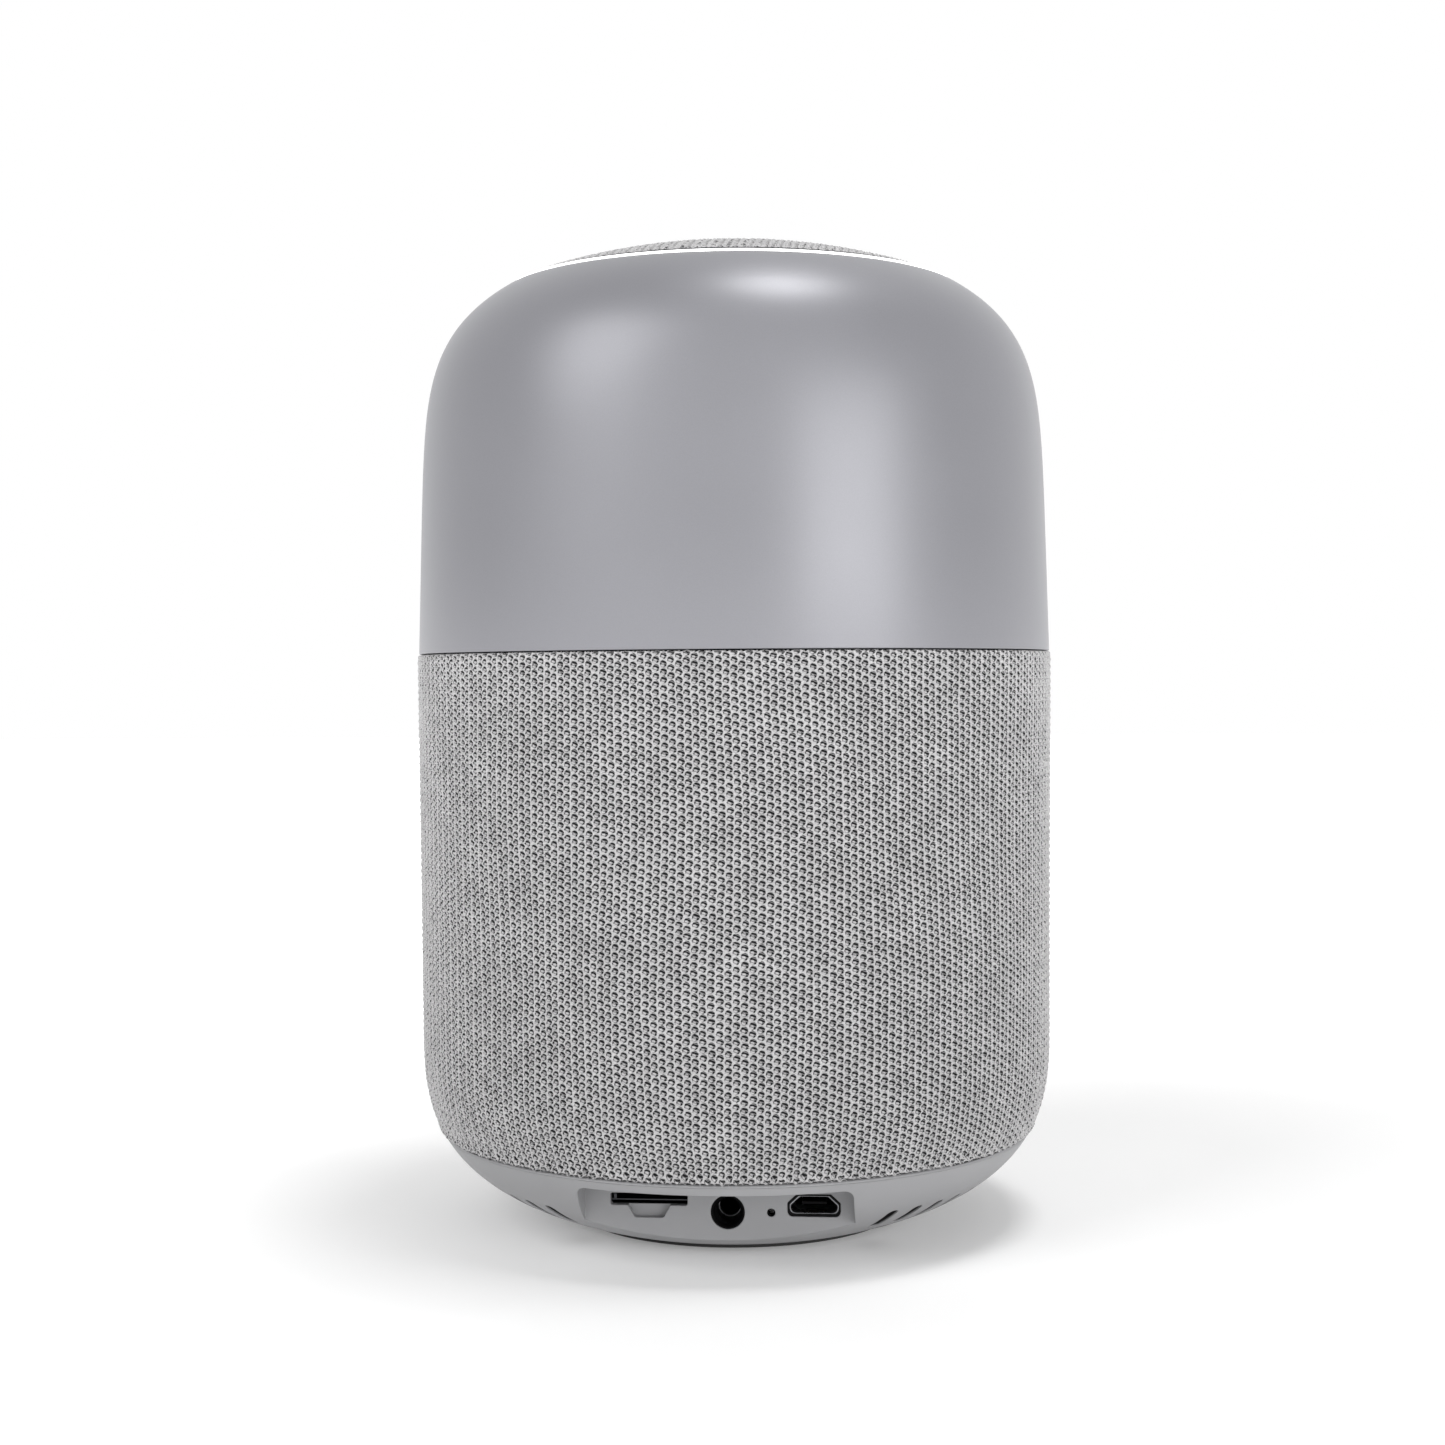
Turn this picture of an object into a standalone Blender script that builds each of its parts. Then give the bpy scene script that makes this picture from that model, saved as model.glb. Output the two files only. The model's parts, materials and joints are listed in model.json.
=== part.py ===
"""A smart speaker: a knitted barrel under a painted dome, with a light ring and a turning crown.

Sizes below are in millimetres and become metres where a mesh is made. Heights are above the surface
that the speaker stands on, radii are from its axis, and the sockets face -Y. The origin is at the
centre of the underside.
"""

import math

import bmesh
import bpy
import numpy as np
from mathutils import Matrix, Vector

MM = 0.001
GAP = 0.3  # left between pieces that touch
FINE, PLAIN = 36, 16  # steps round a big and a small turned piece

# The outer form: a slightly tapered wall with a superelliptic shoulder above and bowl below.
SEAM_Z = 94.2  # underside of the dome
SEAM_R = 52.75
SHOULDER_HEIGHT = 69.6
SHOULDER_TAPER = 0.0281
SHOULDER_POWERS = (1.416, 7.5)  # of radius and of height
BOWL_R = 52.57
BOWL_TOP_Z = 34.2
BOWL_HEIGHT = 36.9
BOWL_POWERS = (2.0, 3.3)
FABRIC_TOP_R = 52.95
FABRIC_TOP_Z = 93.7
FABRIC_LOW_Z = 15.4
FABRIC = 0.9  # thickness of the knit
UNDERSIDE_Z = 1.0
WALL = 2.2

# The crown inside the light ring: a shallow spherical dome.
RING_OUT_R, RING_IN_R = 37.2, 36.1
CROWN_R = 35.7
CROWN_TOP_Z = 162.1
CROWN_SPHERE_R = 104.9

# The socket recess and what opens into it.
PANEL_Y = -35.0
RECESS_HALF = 20.9
RECESS_TOP_Z = 13.3
RECESS_ROUND = 1.4
CARD_X, CARD_Z, CARD_SLOT = -10.9, 9.55, (12.0, 1.9)
JACK_X, JACK_Z, JACK_HOLE_R = 1.3, 7.7, 2.65
RESET_X, RESET_Z, RESET_HOLE_R = 8.0, 7.7, 0.65
USB_X, USB_Z, USB_HOLE = 14.6, 8.9, (8.2, 3.5)
PORT_BOARD_Z = 10.7  # underside of the board that the sockets hang from
PORT_POSTS = [(-17.5, -18.0), (17.5, -18.0)]

# The bass slots: an even row round the bowl, centred on the back and clear of the recess.
SLOT_PITCH = math.radians(6.733)
SLOT_IN_R, SLOT_OUT_R, SLOT_WIDTH = 37.0, 43.3, 1.9
SLOT_TOP_Z = 12.5
SLOTS_EACH_SIDE = 21

# Levels and circles of the inner pieces. A pair of heights is lowest, highest.
FOOT_R = (20.0, 27.0)
LIP_R, LIP_TOP_Z = 46.4, 20.0  # the collar on the bowl that centres the grille core
BOSS_CIRCLE, BOSS_R = 33.0, 3.4
TUB_R, TUB_Z = 43.5, (16.4, 63.5)
LID_Z = (63.8, 66.2)
DRIVER_HOLE_R = 29.0
STANDOFF_CIRCLE = 38.5
DECK_Z = (88.3, 91.0)
SHELL_BOSS_CIRCLE, SHELL_BOSS_TOP_Z = 44.3, 104.0
MAIN_BOARD_Z = 114.0
MAIN_BOARD_POSTS = [(x, y) for x in (-31.0, 31.0) for y in (-26.0, 26.0)]
DOME_TOP_Z = 154.8
ROOF_BOSS_CIRCLE = 41.0
CONTROL_FRAME_Z = (140.5, 142.5)
CONTROL_BOARD_Z = (142.8, 144.4)
CONTROL_PEG_CIRCLE = 24.0
LED_CIRCLE = 36.4

COLOURS = {  # linear colour, roughness, metallic
    "dome_paint": ((0.42, 0.43, 0.45), 0.38, 0.2),
    "knit": ((0.52, 0.53, 0.55), 0.95, 0.0),
    "base_plastic": ((0.30, 0.31, 0.33), 0.5, 0.0),
    "black_plastic": ((0.02, 0.02, 0.022), 0.5, 0.0),
    "diffuser_plastic": ((0.9, 0.9, 0.9), 0.35, 0.0),
    "rubber": ((0.03, 0.03, 0.03), 0.8, 0.0),
    "circuit_board": ((0.02, 0.12, 0.05), 0.5, 0.0),
    "steel": ((0.55, 0.55, 0.56), 0.3, 1.0),
    "ferrite": ((0.05, 0.05, 0.055), 0.6, 0.0),
    "paper_cone": ((0.04, 0.04, 0.045), 0.8, 0.0),
    "copper_coil": ((0.6, 0.27, 0.12), 0.35, 1.0),
    "battery_wrap": ((0.05, 0.14, 0.35), 0.4, 0.0),
    "aluminium": ((0.7, 0.7, 0.72), 0.35, 1.0),
}


def empty_scene():
    for obj in list(bpy.data.objects):
        bpy.data.objects.remove(obj, do_unlink=True)
    for name in ("smart_speaker", "cutters"):
        collection = bpy.data.collections.new(name)
        bpy.context.scene.collection.children.link(collection)


def material(slot):
    if slot in bpy.data.materials:
        return bpy.data.materials[slot]
    colour, roughness, metallic = COLOURS[slot]
    made = bpy.data.materials.new(slot)
    made.use_nodes = True
    shader = made.node_tree.nodes["Principled BSDF"]
    shader.inputs["Base Color"].default_value = (*colour, 1.0)
    shader.inputs["Roughness"].default_value = roughness
    shader.inputs["Metallic"].default_value = metallic
    return made


def object_from(name, bm, slot, at=(0.0, 0.0, 0.0)):
    """The mesh as a part, or as a cutter when it has no material slot, with its origin at `at`."""
    mesh = bpy.data.meshes.new(name)
    bmesh.ops.scale(bm, vec=(MM, MM, MM), verts=bm.verts)
    bm.to_mesh(mesh)
    bm.free()
    obj = bpy.data.objects.new(name, mesh)
    obj.location = Vector(at) * MM
    if slot is None:
        obj.hide_render = True
        obj.display_type = "WIRE"
        bpy.data.collections["cutters"].objects.link(obj)
    else:
        mesh.materials.append(material(slot))
        bpy.data.collections["smart_speaker"].objects.link(obj)
    return obj


def turned(name, slot, points, steps=PLAIN, closed=True):
    """A profile of (radius, height), down its outer side, turned about the axis.

    A profile that isn't closed begins and ends on the axis.
    """
    bm = bmesh.new()
    verts = [bm.verts.new((r, 0.0, z)) for r, z in points]
    for first, second in zip(verts, verts[1:]):
        bm.edges.new((first, second))
    if closed:
        bm.edges.new((verts[-1], verts[0]))
    obj = object_from(name, bm, slot)
    screw = obj.modifiers.new("turn", "SCREW")
    screw.steps = screw.render_steps = steps
    screw.use_merge_vertices = True
    screw.merge_threshold = 1e-6
    screw.use_smooth_shade = True
    return obj


def block(name, slot, size, centre, bevel=0.0, segments=2):
    """A box, with its edges rounded by `bevel`."""
    bm = bmesh.new()
    bmesh.ops.create_cube(bm, size=1.0)
    bmesh.ops.scale(bm, vec=size, verts=bm.verts)
    obj = object_from(name, bm, slot, centre)
    if bevel:
        rounding = obj.modifiers.new("round", "BEVEL")
        rounding.width = bevel * MM
        rounding.segments = segments
    return obj


def blocks_round(name, size, circle, z, angles):
    """Equal boxes at height `z` on a circle, each turned to face outwards, as one cutter."""
    bm = bmesh.new()
    for angle in angles:
        made = bmesh.ops.create_cube(bm, size=1.0)
        place = Matrix.Rotation(angle, 4, "Z") @ Matrix.Translation((circle, 0, z))
        bmesh.ops.scale(bm, vec=size, verts=made["verts"])
        bmesh.ops.transform(bm, matrix=place, verts=made["verts"])
    return object_from(name, bm, None)


def cylinders(name, slot, radius, length, centres, along="Z", sides=16):
    """Equal cylinders with their middles at `centres`. The origin is at the first."""
    quarter = math.pi / 2
    turns = {
        "X": Matrix.Rotation(quarter, 4, "Y"),
        "Y": Matrix.Rotation(quarter, 4, "X"),
        "Z": Matrix.Identity(4),
    }
    bm = bmesh.new()
    for centre in centres:
        place = Matrix.Translation(Vector(centre) - Vector(centres[0])) @ turns[along]
        bmesh.ops.create_cone(
            bm, cap_ends=True, segments=sides, radius1=radius, radius2=radius, depth=length, matrix=place
        )
    return object_from(name, bm, slot, centres[0])


def upright(name, slot, radius, low, high, spots, sides=16):
    """Vertical cylinders between two heights at each (x, y)."""
    middles = [(x, y, (low + high) / 2) for x, y in spots]
    return cylinders(name, slot, radius, high - low, middles, "Z", sides)


def combine(obj, other, operation):
    boolean = obj.modifiers.new(operation.lower(), "BOOLEAN")
    boolean.operation = operation
    boolean.object = other
    return obj


def cut(obj, *others):
    for other in others:
        combine(obj, other, "DIFFERENCE")
    return obj


def join(obj, *others):
    for other in others:
        combine(obj, other, "UNION")
    return obj


def even_angles(count, first_deg=0.0):
    """`count` angles evenly spaced round a circle, in radians."""
    return [math.radians(first_deg) + place * math.tau / count for place in range(count)]


def round_spots(circle, count, first_deg=0.0):
    """(x, y) of `count` places evenly spaced on a circle."""
    return [(circle * math.cos(a), circle * math.sin(a)) for a in even_angles(count, first_deg)]


def shoulder(high_z, low_z, count):
    """The dome's outline from `high_z` down to `low_z`, evenly spread along its sweep angle."""
    power_r, power_z = SHOULDER_POWERS
    start, end = (math.asin(((z - SEAM_Z) / SHOULDER_HEIGHT) ** (power_z / 2)) for z in (high_z, low_z))
    angle = np.linspace(start, end, count)
    z = SEAM_Z + SHOULDER_HEIGHT * np.sin(angle) ** (2 / power_z)
    r = (SEAM_R - SHOULDER_TAPER * (z - SEAM_Z)) * np.cos(angle) ** (2 / power_r)
    return np.column_stack((r, z))


def bowl(high_z, low_z, count):
    """The body's lower outline from `high_z` down to `low_z`, evenly spread along its sweep angle."""
    power_r, power_z = BOWL_POWERS
    start, end = (math.asin(((BOWL_TOP_Z - z) / BOWL_HEIGHT) ** (power_z / 2)) for z in (high_z, low_z))
    angle = np.linspace(start, end, count)
    z = BOWL_TOP_Z - BOWL_HEIGHT * np.sin(angle) ** (2 / power_z)
    return np.column_stack((BOWL_R * np.cos(angle) ** (2 / power_r), z))


def crown(edge_r, count, depth=0.0):
    """The crown's outline from the axis out to `edge_r`, `depth` below its outer face."""
    r = np.linspace(0.0, edge_r, count)
    centre_z = CROWN_TOP_Z - CROWN_SPHERE_R
    return np.column_stack((r, centre_z + np.sqrt((CROWN_SPHERE_R - depth) ** 2 - r**2)))


def inset(outline, depth):
    """An outline that runs down an outer side, moved inwards by `depth` square to itself."""
    step = np.gradient(outline, axis=0)
    inward = np.column_stack((step[:, 1], -step[:, 0])) / np.linalg.norm(step, axis=1)[:, None]
    return outline + depth * inward


def loop(*stretches):
    """Points and runs of points as one list."""
    return [tuple(map(float, p)) for stretch in stretches for p in np.atleast_2d(stretch)]


def knit_side(depth):
    """The sleeve's outline, top to bottom, `depth` below its outer face."""
    wall = np.array([(FABRIC_TOP_R, FABRIC_TOP_Z), (BOWL_R + 0.2, (FABRIC_TOP_Z + BOWL_TOP_Z) / 2)])
    return inset(np.vstack((wall, bowl(BOWL_TOP_Z - 2, FABRIC_LOW_Z, 6))), depth)


def screw(name, spot, head, tip, head_r=2.0, shank_r=1.1, head_height=1.8):
    """A pan-head screw at (x, y), from the outer face of its head to its tip, with a cross slot."""
    toward = 1 if tip > head else -1
    under_head = head + toward * head_height
    low, high = sorted((head, under_head))
    body = upright(name, "steel", head_r, low, high, [spot], 12)
    low, high = sorted((under_head - toward * 0.2, tip))
    join(body, upright(name + "_shank", None, shank_r, low, high, [spot], sides=8))
    for turn in (0, 1):
        size = (head_r * 1.2, 0.5, 1.2) if turn else (0.5, head_r * 1.2, 1.2)
        cut(body, block(f"{name}_drive_{turn}", None, size, (*spot, head)))
    return body


def make_trim():
    """The outer form as one solid, a little smaller, for trimming what is added inside its walls."""
    depth = 0.7
    floor_z = UNDERSIDE_Z + depth
    upper = inset(shoulder(DOME_TOP_Z - 0.2, SEAM_Z, 12), depth)
    lower = inset(bowl(BOWL_TOP_Z, UNDERSIDE_Z, 12), depth)
    lower = lower[lower[:, 1] > floor_z]
    points = loop((0, upper[0][1]), upper, lower, (lower[-1][0] - 1, floor_z), (0, floor_z))
    return turned("body_trim", None, points, FINE, closed=False)


def make_base():
    trim = make_trim()
    edge_z = FABRIC_LOW_Z - GAP
    floor_z = UNDERSIDE_Z + WALL
    groove_z = 2.0  # roof of the groove that holds the foot ring
    foot_in, foot_out = FOOT_R
    lip_in = LIP_R - 2.0
    outer = bowl(edge_z, UNDERSIDE_Z, 8)
    inner = inset(bowl(edge_z, UNDERSIDE_Z + 0.9, 7), WALL)[::-1]
    inner = inner[inner[:, 0] < LIP_R - WALL]
    base = turned(
        "base_bowl",
        "base_plastic",
        loop(
            (0, floor_z), (inner[0][0] - 3, floor_z), inner[1:], (lip_in, inner[-1][1] + 2.0),
            (lip_in, LIP_TOP_Z), (LIP_R, LIP_TOP_Z), (LIP_R, edge_z), outer,
            (foot_out + GAP, UNDERSIDE_Z), (foot_out + GAP, groove_z), (foot_in - GAP, groove_z),
            (foot_in - GAP, UNDERSIDE_Z), (0, UNDERSIDE_Z),
        ),
        FINE,
        closed=False,
    )
    boss_spots = round_spots(BOSS_CIRCLE, 4, 45)
    pocket_y = PANEL_Y + WALL
    pocket = block("pocket_wall", None, (2 * (RECESS_HALF + WALL), 16, 14.1), (0, pocket_y - 8, 8.0))
    combine(pocket, trim, "INTERSECT")
    bosses = upright("base_bosses", None, BOSS_R, 1.4, TUB_Z[0] - GAP, boss_spots, 18)
    combine(bosses, trim, "INTERSECT")
    posts = upright("port_posts", None, 1.6, 2.4, PORT_BOARD_Z - GAP, PORT_POSTS)
    pegs = upright("port_pegs", None, 1.0, PORT_BOARD_Z - 0.7, PORT_BOARD_Z + 1.9, PORT_POSTS, sides=10)
    join(base, pocket, bosses, posts, pegs)

    recess_size = (2 * RECESS_HALF, 30, 2 * RECESS_TOP_Z)
    cut(base, block("recess", None, recess_size, (0, PANEL_Y - 15, 0), RECESS_ROUND, 3))
    through = 9  # length of a cutter that passes right through the recess's back wall
    cut(
        base,
        block("card_slot", None, (CARD_SLOT[0], through, CARD_SLOT[1]), (CARD_X, PANEL_Y, CARD_Z)),
        cylinders("card_notch", None, 3.2, 2.0, [(CARD_X, PANEL_Y, CARD_Z - 0.3)], "Y", 12),
        cylinders("jack_hole", None, JACK_HOLE_R, through, [(JACK_X, PANEL_Y, JACK_Z)], "Y", 20),
        cylinders("reset_hole", None, RESET_HOLE_R, through, [(RESET_X, PANEL_Y, RESET_Z)], "Y", 10),
        block("usb_hole", None, (USB_HOLE[0], through, USB_HOLE[1]), (USB_X, PANEL_Y, USB_Z), 0.7, 2),
        upright("base_counterbores", None, 2.5, -1, 7.0, boss_spots, 12),
        upright("base_clearance", None, 1.45, 5, 17, boss_spots, 8),
        bass_slots(),
    )

    turned(
        "foot_ring", "rubber",
        [
            (foot_out, 1.7), (foot_out, 0.4), (foot_out - 0.5, 0), (foot_in + 0.5, 0), (foot_in, 0.4),
            (foot_in, 1.7),
        ],
        FINE,
    )
    for number, spot in enumerate(boss_spots, 1):
        screw(f"base_screw_{number}", spot, 4.6, 22.0, shank_r=1.25)


def bass_slots():
    """Upright slots spread both ways from the back, as one cutter."""
    below = 0.5
    size = (SLOT_OUT_R - SLOT_IN_R, SLOT_WIDTH, SLOT_TOP_Z + below)
    places = range(-SLOTS_EACH_SIDE, SLOTS_EACH_SIDE + 1)
    angles = [math.pi / 2 + place * SLOT_PITCH for place in places]
    return blocks_round("bass_slots", size, (SLOT_IN_R + SLOT_OUT_R) / 2, (SLOT_TOP_Z - below) / 2, angles)


def make_ports():
    board = block("port_board", "circuit_board", (39.0, 16.2, 1.4), (0, -24.3, PORT_BOARD_Z + 0.7))
    cut(board, upright("port_board_holes", None, 1.3, 9, 14, PORT_POSTS, 10))
    front = PANEL_Y + 0.4
    wall_back = PANEL_Y + WALL

    usb = block("usb_socket", "steel", (7.6, 6.0, 2.8), (USB_X, front + 3.0, USB_Z), 0.5, 2)
    cut(usb, block("usb_mouth", None, (6.9, 8.6, 2.1), (USB_X, front, USB_Z), 0.4, 1))
    block("usb_tongue", "black_plastic", (5.2, 3.2, 0.6), (USB_X, front + 2.3, USB_Z + 0.2))

    jack = block("aux_socket", "black_plastic", (6.0, 12.0, 5.2), (JACK_X, wall_back + 6.4, JACK_Z), 0.3, 1)
    join(jack, cylinders("jack_nose", None, 2.35, 4.0, [(JACK_X, front + 2.0, JACK_Z)], "Y", 20))
    cut(jack, cylinders("jack_bore", None, 1.8, 24.0, [(JACK_X, front, JACK_Z)], "Y", 16))

    card = block("card_socket", "steel", (13.6, 12.2, 1.9), (CARD_X + 0.3, wall_back + 6.5, CARD_Z))
    cut(card, block("card_mouth", None, (11.4, 22.6, 1.1), (CARD_X, wall_back, CARD_Z)))
    block("card_slider", "black_plastic", (2.0, 2.4, 0.7), (CARD_X + 4.4, wall_back + 9.0, CARD_Z))

    body = block("reset_switch", "black_plastic", (4.4, 3.4, 3.4), (RESET_X, wall_back + 3.2, RESET_Z))
    plunger_at = (RESET_X, wall_back + 1.5, RESET_Z)
    cut(body, cylinders("reset_bore", None, 1.1, 3.0, [plunger_at], "Y", 12))
    cylinders("reset_plunger", "diffuser_plastic", 0.85, 2.0, [plunger_at], "Y", 12)


def make_sleeve():
    outer = knit_side(0.0)
    inner = knit_side(FABRIC)[::-1]
    turned("fabric_sleeve", "knit", loop(outer, inner), FINE)
    depth = FABRIC + GAP
    top_z, low_z = 92.3, FABRIC_LOW_Z
    outer, inner = knit_side(depth), knit_side(depth + 2.0)[::-1]
    outer[0][1] = inner[-1][1] = top_z
    outer[-1][1] = inner[0][1] = low_z
    core = turned("grille_core", "black_plastic", loop(outer, inner), FINE)
    for low, high in ((26.0, 54.0), (60.0, 86.0)):
        size = (12, 9, high - low)
        cut(core, blocks_round(f"sound_windows_{low:.0f}", size, 50, (low + high) / 2, even_angles(12)))


def make_chamber():
    low, high = TUB_Z
    inner_r = TUB_R - WALL
    floor = low + WALL
    radiator_hole_r = 25.5
    tub = turned(
        "chamber_tub", "black_plastic",
        [
            (TUB_R, high), (TUB_R, low), (radiator_hole_r, low), (radiator_hole_r, floor), (inner_r, floor),
            (inner_r, high),
        ],
        FINE,
    )
    spots = round_spots(BOSS_CIRCLE, 4, 45)
    join(tub, upright("tub_bosses", None, 3.2, low + 0.5, 25.5, spots, 12))
    cut(tub, upright("tub_threads", None, 1.45, low - 1, 23.5, spots, 10))

    low, high = LID_Z
    spigot_z = low - 2.0  # lower edge of the ring that centres the lid in the tub
    lid = turned(
        "chamber_lid", "black_plastic",
        [
            (TUB_R, high), (TUB_R, low), (inner_r - GAP, low), (inner_r - GAP, spigot_z),
            (inner_r - 1.8, spigot_z), (inner_r - 1.8, low), (DRIVER_HOLE_R, low), (DRIVER_HOLE_R, high),
        ],
        FINE,
    )
    spots = round_spots(STANDOFF_CIRCLE, 3)
    join(lid, upright("lid_standoffs", None, 3.3, low + 0.4, DECK_Z[0] - GAP, spots, 12))
    cut(lid, upright("standoff_threads", None, 1.3, 79.0, 90.0, spots, 10))


def half_roll(inner_r, outer_r, z, thickness, flange_r):
    """A closed profile: a half-round roll between two radii, arched up, with a flat flange outside it."""
    middle, radius = (inner_r + outer_r) / 2, (outer_r - inner_r) / 2
    angle = np.linspace(0, np.pi, 5)
    arch = np.column_stack((np.cos(angle), np.sin(angle)))
    outside = (middle, z) + radius * arch
    inside = (middle, z) + (radius - thickness) * arch
    low = z - thickness
    return loop(inside, outside[::-1], (flange_r, z), (flange_r, low), (outer_r - thickness, low))


def make_driver():
    basket = turned(
        "driver_basket", "steel",
        [
            (34.4, 68.0), (34.4, 66.5), (28.4, 66.5), (22.0, 50.0), (22.0, 47.0), (10.5, 47.0), (10.5, 48.6),
            (20.4, 48.6), (20.4, 50.3), (26.8, 68.0),
        ],
    )
    for number in (0, 1):
        cut(basket, blocks_round(f"basket_windows_{number}", (80, 17, 9), 0, 57.0, [number * math.pi / 2]))
    turned("top_plate", "steel", [(19.0, 46.7), (19.0, 43.9), (9.6, 43.9), (9.6, 46.7)])
    turned("magnet_ring", "ferrite", [(20.0, 43.6), (20.0, 34.2), (10.8, 34.2), (10.8, 43.6)])
    turned(
        "back_plate", "steel",
        [(0, 46.7), (8.3, 46.7), (8.3, 33.9), (19.0, 33.9), (19.0, 30.9), (0, 30.9)], closed=False,
    )
    turned("voice_coil", "copper_coil", [(9.2, 53.8), (9.2, 40.0), (8.7, 40.0), (8.7, 53.8)], 24)
    turned(
        "driver_cone", "paper_cone",
        [(23.7, 65.9), (23.7, 65.2), (9.6, 52.6), (9.6, 53.4), (23.0, 65.9)],
    )
    turned(
        "dust_cap", "paper_cone",
        [(0, 58.6), (6.0, 57.6), (10.6, 55.2), (10.3, 54.8), (5.8, 57.0), (0, 58.0)], 24, closed=False,
    )
    turned("driver_surround", "rubber", half_roll(24.1, 28.1, 68.9, 0.5, 31.0))
    turned("driver_spider", "knit", [(20.1, 51.4), (20.1, 50.9), (10.3, 50.9), (10.3, 51.4)], 24)
    turned(
        "sound_diffuser", "black_plastic",
        [(0, 88.0), (26.0, 88.0), (25.0, 86.5), (12.0, 80.0), (3.0, 74.0), (0, 73.2)], closed=False,
    )


def make_radiator():
    turned("radiator_frame", "black_plastic", [(29.3, 20.6), (29.3, 18.9), (26.2, 18.9), (26.2, 20.6)])
    turned("radiator_surround", "rubber", half_roll(20.9, 25.6, 21.4, 0.5, 29.0))
    plate = [(0, 21.6), (20.4, 21.6), (20.4, 19.6), (0, 19.6)]
    turned("radiator_plate", "black_plastic", plate, closed=False)
    weight = [(0, 25.0), (12.0, 25.0), (12.0, 21.9), (0, 21.9)]
    turned("radiator_weight", "steel", weight, closed=False)


def make_deck():
    deck = turned(
        "middle_deck", "black_plastic",
        [
            (0, DECK_Z[1]), (47.6, DECK_Z[1]), (47.6, 97.0), (49.9, 97.0), (49.9, 93.9), (51.9, 93.9),
            (51.9, 92.6), (49.4, 92.6), (49.4, DECK_Z[0]), (0, DECK_Z[0]),
        ],
        FINE, closed=False,
    )
    standoffs = round_spots(STANDOFF_CIRCLE, 3)
    shell_bosses = round_spots(SHELL_BOSS_CIRCLE, 3, 60)
    join(deck, upright("board_posts", None, 2.4, DECK_Z[1] - 0.5, MAIN_BOARD_Z - GAP, MAIN_BOARD_POSTS, 12))
    join(deck, upright("board_pegs", None, 1.1, MAIN_BOARD_Z - 1, MAIN_BOARD_Z + 2.6, MAIN_BOARD_POSTS, 10))
    cut(deck, upright("deck_clearance", None, 1.4, 86, 93, standoffs, 10))
    cut(deck, upright("shell_clearance", None, 1.4, 86, 93, shell_bosses, 10))
    for number, spot in enumerate(standoffs, 1):
        screw(f"deck_screw_{number}", spot, 93.1, 80.0)
    for number, spot in enumerate(shell_bosses, 1):
        screw(f"shell_screw_{number}", spot, 86.2, 101.0, head_r=1.8)

    tray = block("battery_tray", "black_plastic", (70.0, 40.6, 7.0), (0, 0, 94.8))
    cut(tray, block("tray_hollow", None, (67.0, 38.0, 12.0), (0, 0, 99.0)))
    for number, y in enumerate((-9.4, 9.4), 1):
        cylinders(f"battery_cell_{number}", "battery_wrap", 9.1, 65.0, [(0, y, 102.4)], "X", 24)

    board = block("main_board", "circuit_board", (68.0, 58.0, 1.6), (0, 0, MAIN_BOARD_Z + 0.8))
    cut(board, upright("board_holes", None, 1.4, 112, 118, MAIN_BOARD_POSTS, 10))
    block("shield_can", "steel", (26.0, 22.0, 3.0), (12.0, 8.0, MAIN_BOARD_Z + 3.4), 0.4, 1)
    sink_x, sink_y = -16.0, 8.0
    sink = block("heat_sink", "aluminium", (16.0, 16.0, 7.0), (sink_x, sink_y, MAIN_BOARD_Z + 5.4))
    for offset in (-4.4, 0.0, 4.4):
        gap_at = (sink_x + offset, sink_y, MAIN_BOARD_Z + 8.0)
        cut(sink, block(f"fin_gap_{offset}", None, (2.2, 20.0, 8.0), gap_at))
    block("ribbon_cable", "battery_wrap", (12.0, 0.4, 23.8), (0, -24.0, 128.1))


def make_dome():
    outer = shoulder(DOME_TOP_Z, SEAM_Z, 11)
    inner = inset(shoulder(DOME_TOP_Z, SEAM_Z, 7), WALL)[::-1]
    inner = inner[inner[:, 0] > RING_OUT_R + 1.2]
    profile = loop(outer, (inner[0][0], SEAM_Z), inner[1:], (outer[0][0], DOME_TOP_Z - WALL))
    shell = turned("upper_shell", "dome_paint", profile, FINE)
    spots = round_spots(SHELL_BOSS_CIRCLE, 3, 60)
    join(shell, upright("shell_bosses", None, 2.8, DECK_Z[1] + GAP, SHELL_BOSS_TOP_Z, spots, 12))
    join(shell, blocks_round("shell_ribs", (6.0, 1.6, 6.0), 48.4, SHELL_BOSS_TOP_Z - 3, even_angles(3, 60)))
    roof = round_spots(ROOF_BOSS_CIRCLE, 3, 90)
    bosses = upright("roof_bosses", None, 2.6, CONTROL_FRAME_Z[1] + GAP, 153.0, roof, 10)
    combine(bosses, bpy.data.objects["body_trim"], "INTERSECT")
    join(shell, bosses)
    cut(shell, upright("roof_threads", None, 1.2, 140.0, 148.0, roof, 10))
    cut(shell, upright("shell_threads", None, 1.3, 88.0, 102.5, spots, 10))

    turned(
        "light_ring", "diffuser_plastic",
        [
            (RING_OUT_R, DOME_TOP_Z + 0.2), (RING_OUT_R, 150.9), (38.0, 150.9), (38.0, 149.9),
            (RING_OUT_R, 149.9), (RING_OUT_R, 146.6), (RING_IN_R, 146.6), (RING_IN_R, DOME_TOP_Z + 0.9),
        ],
        FINE,
    )


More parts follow.
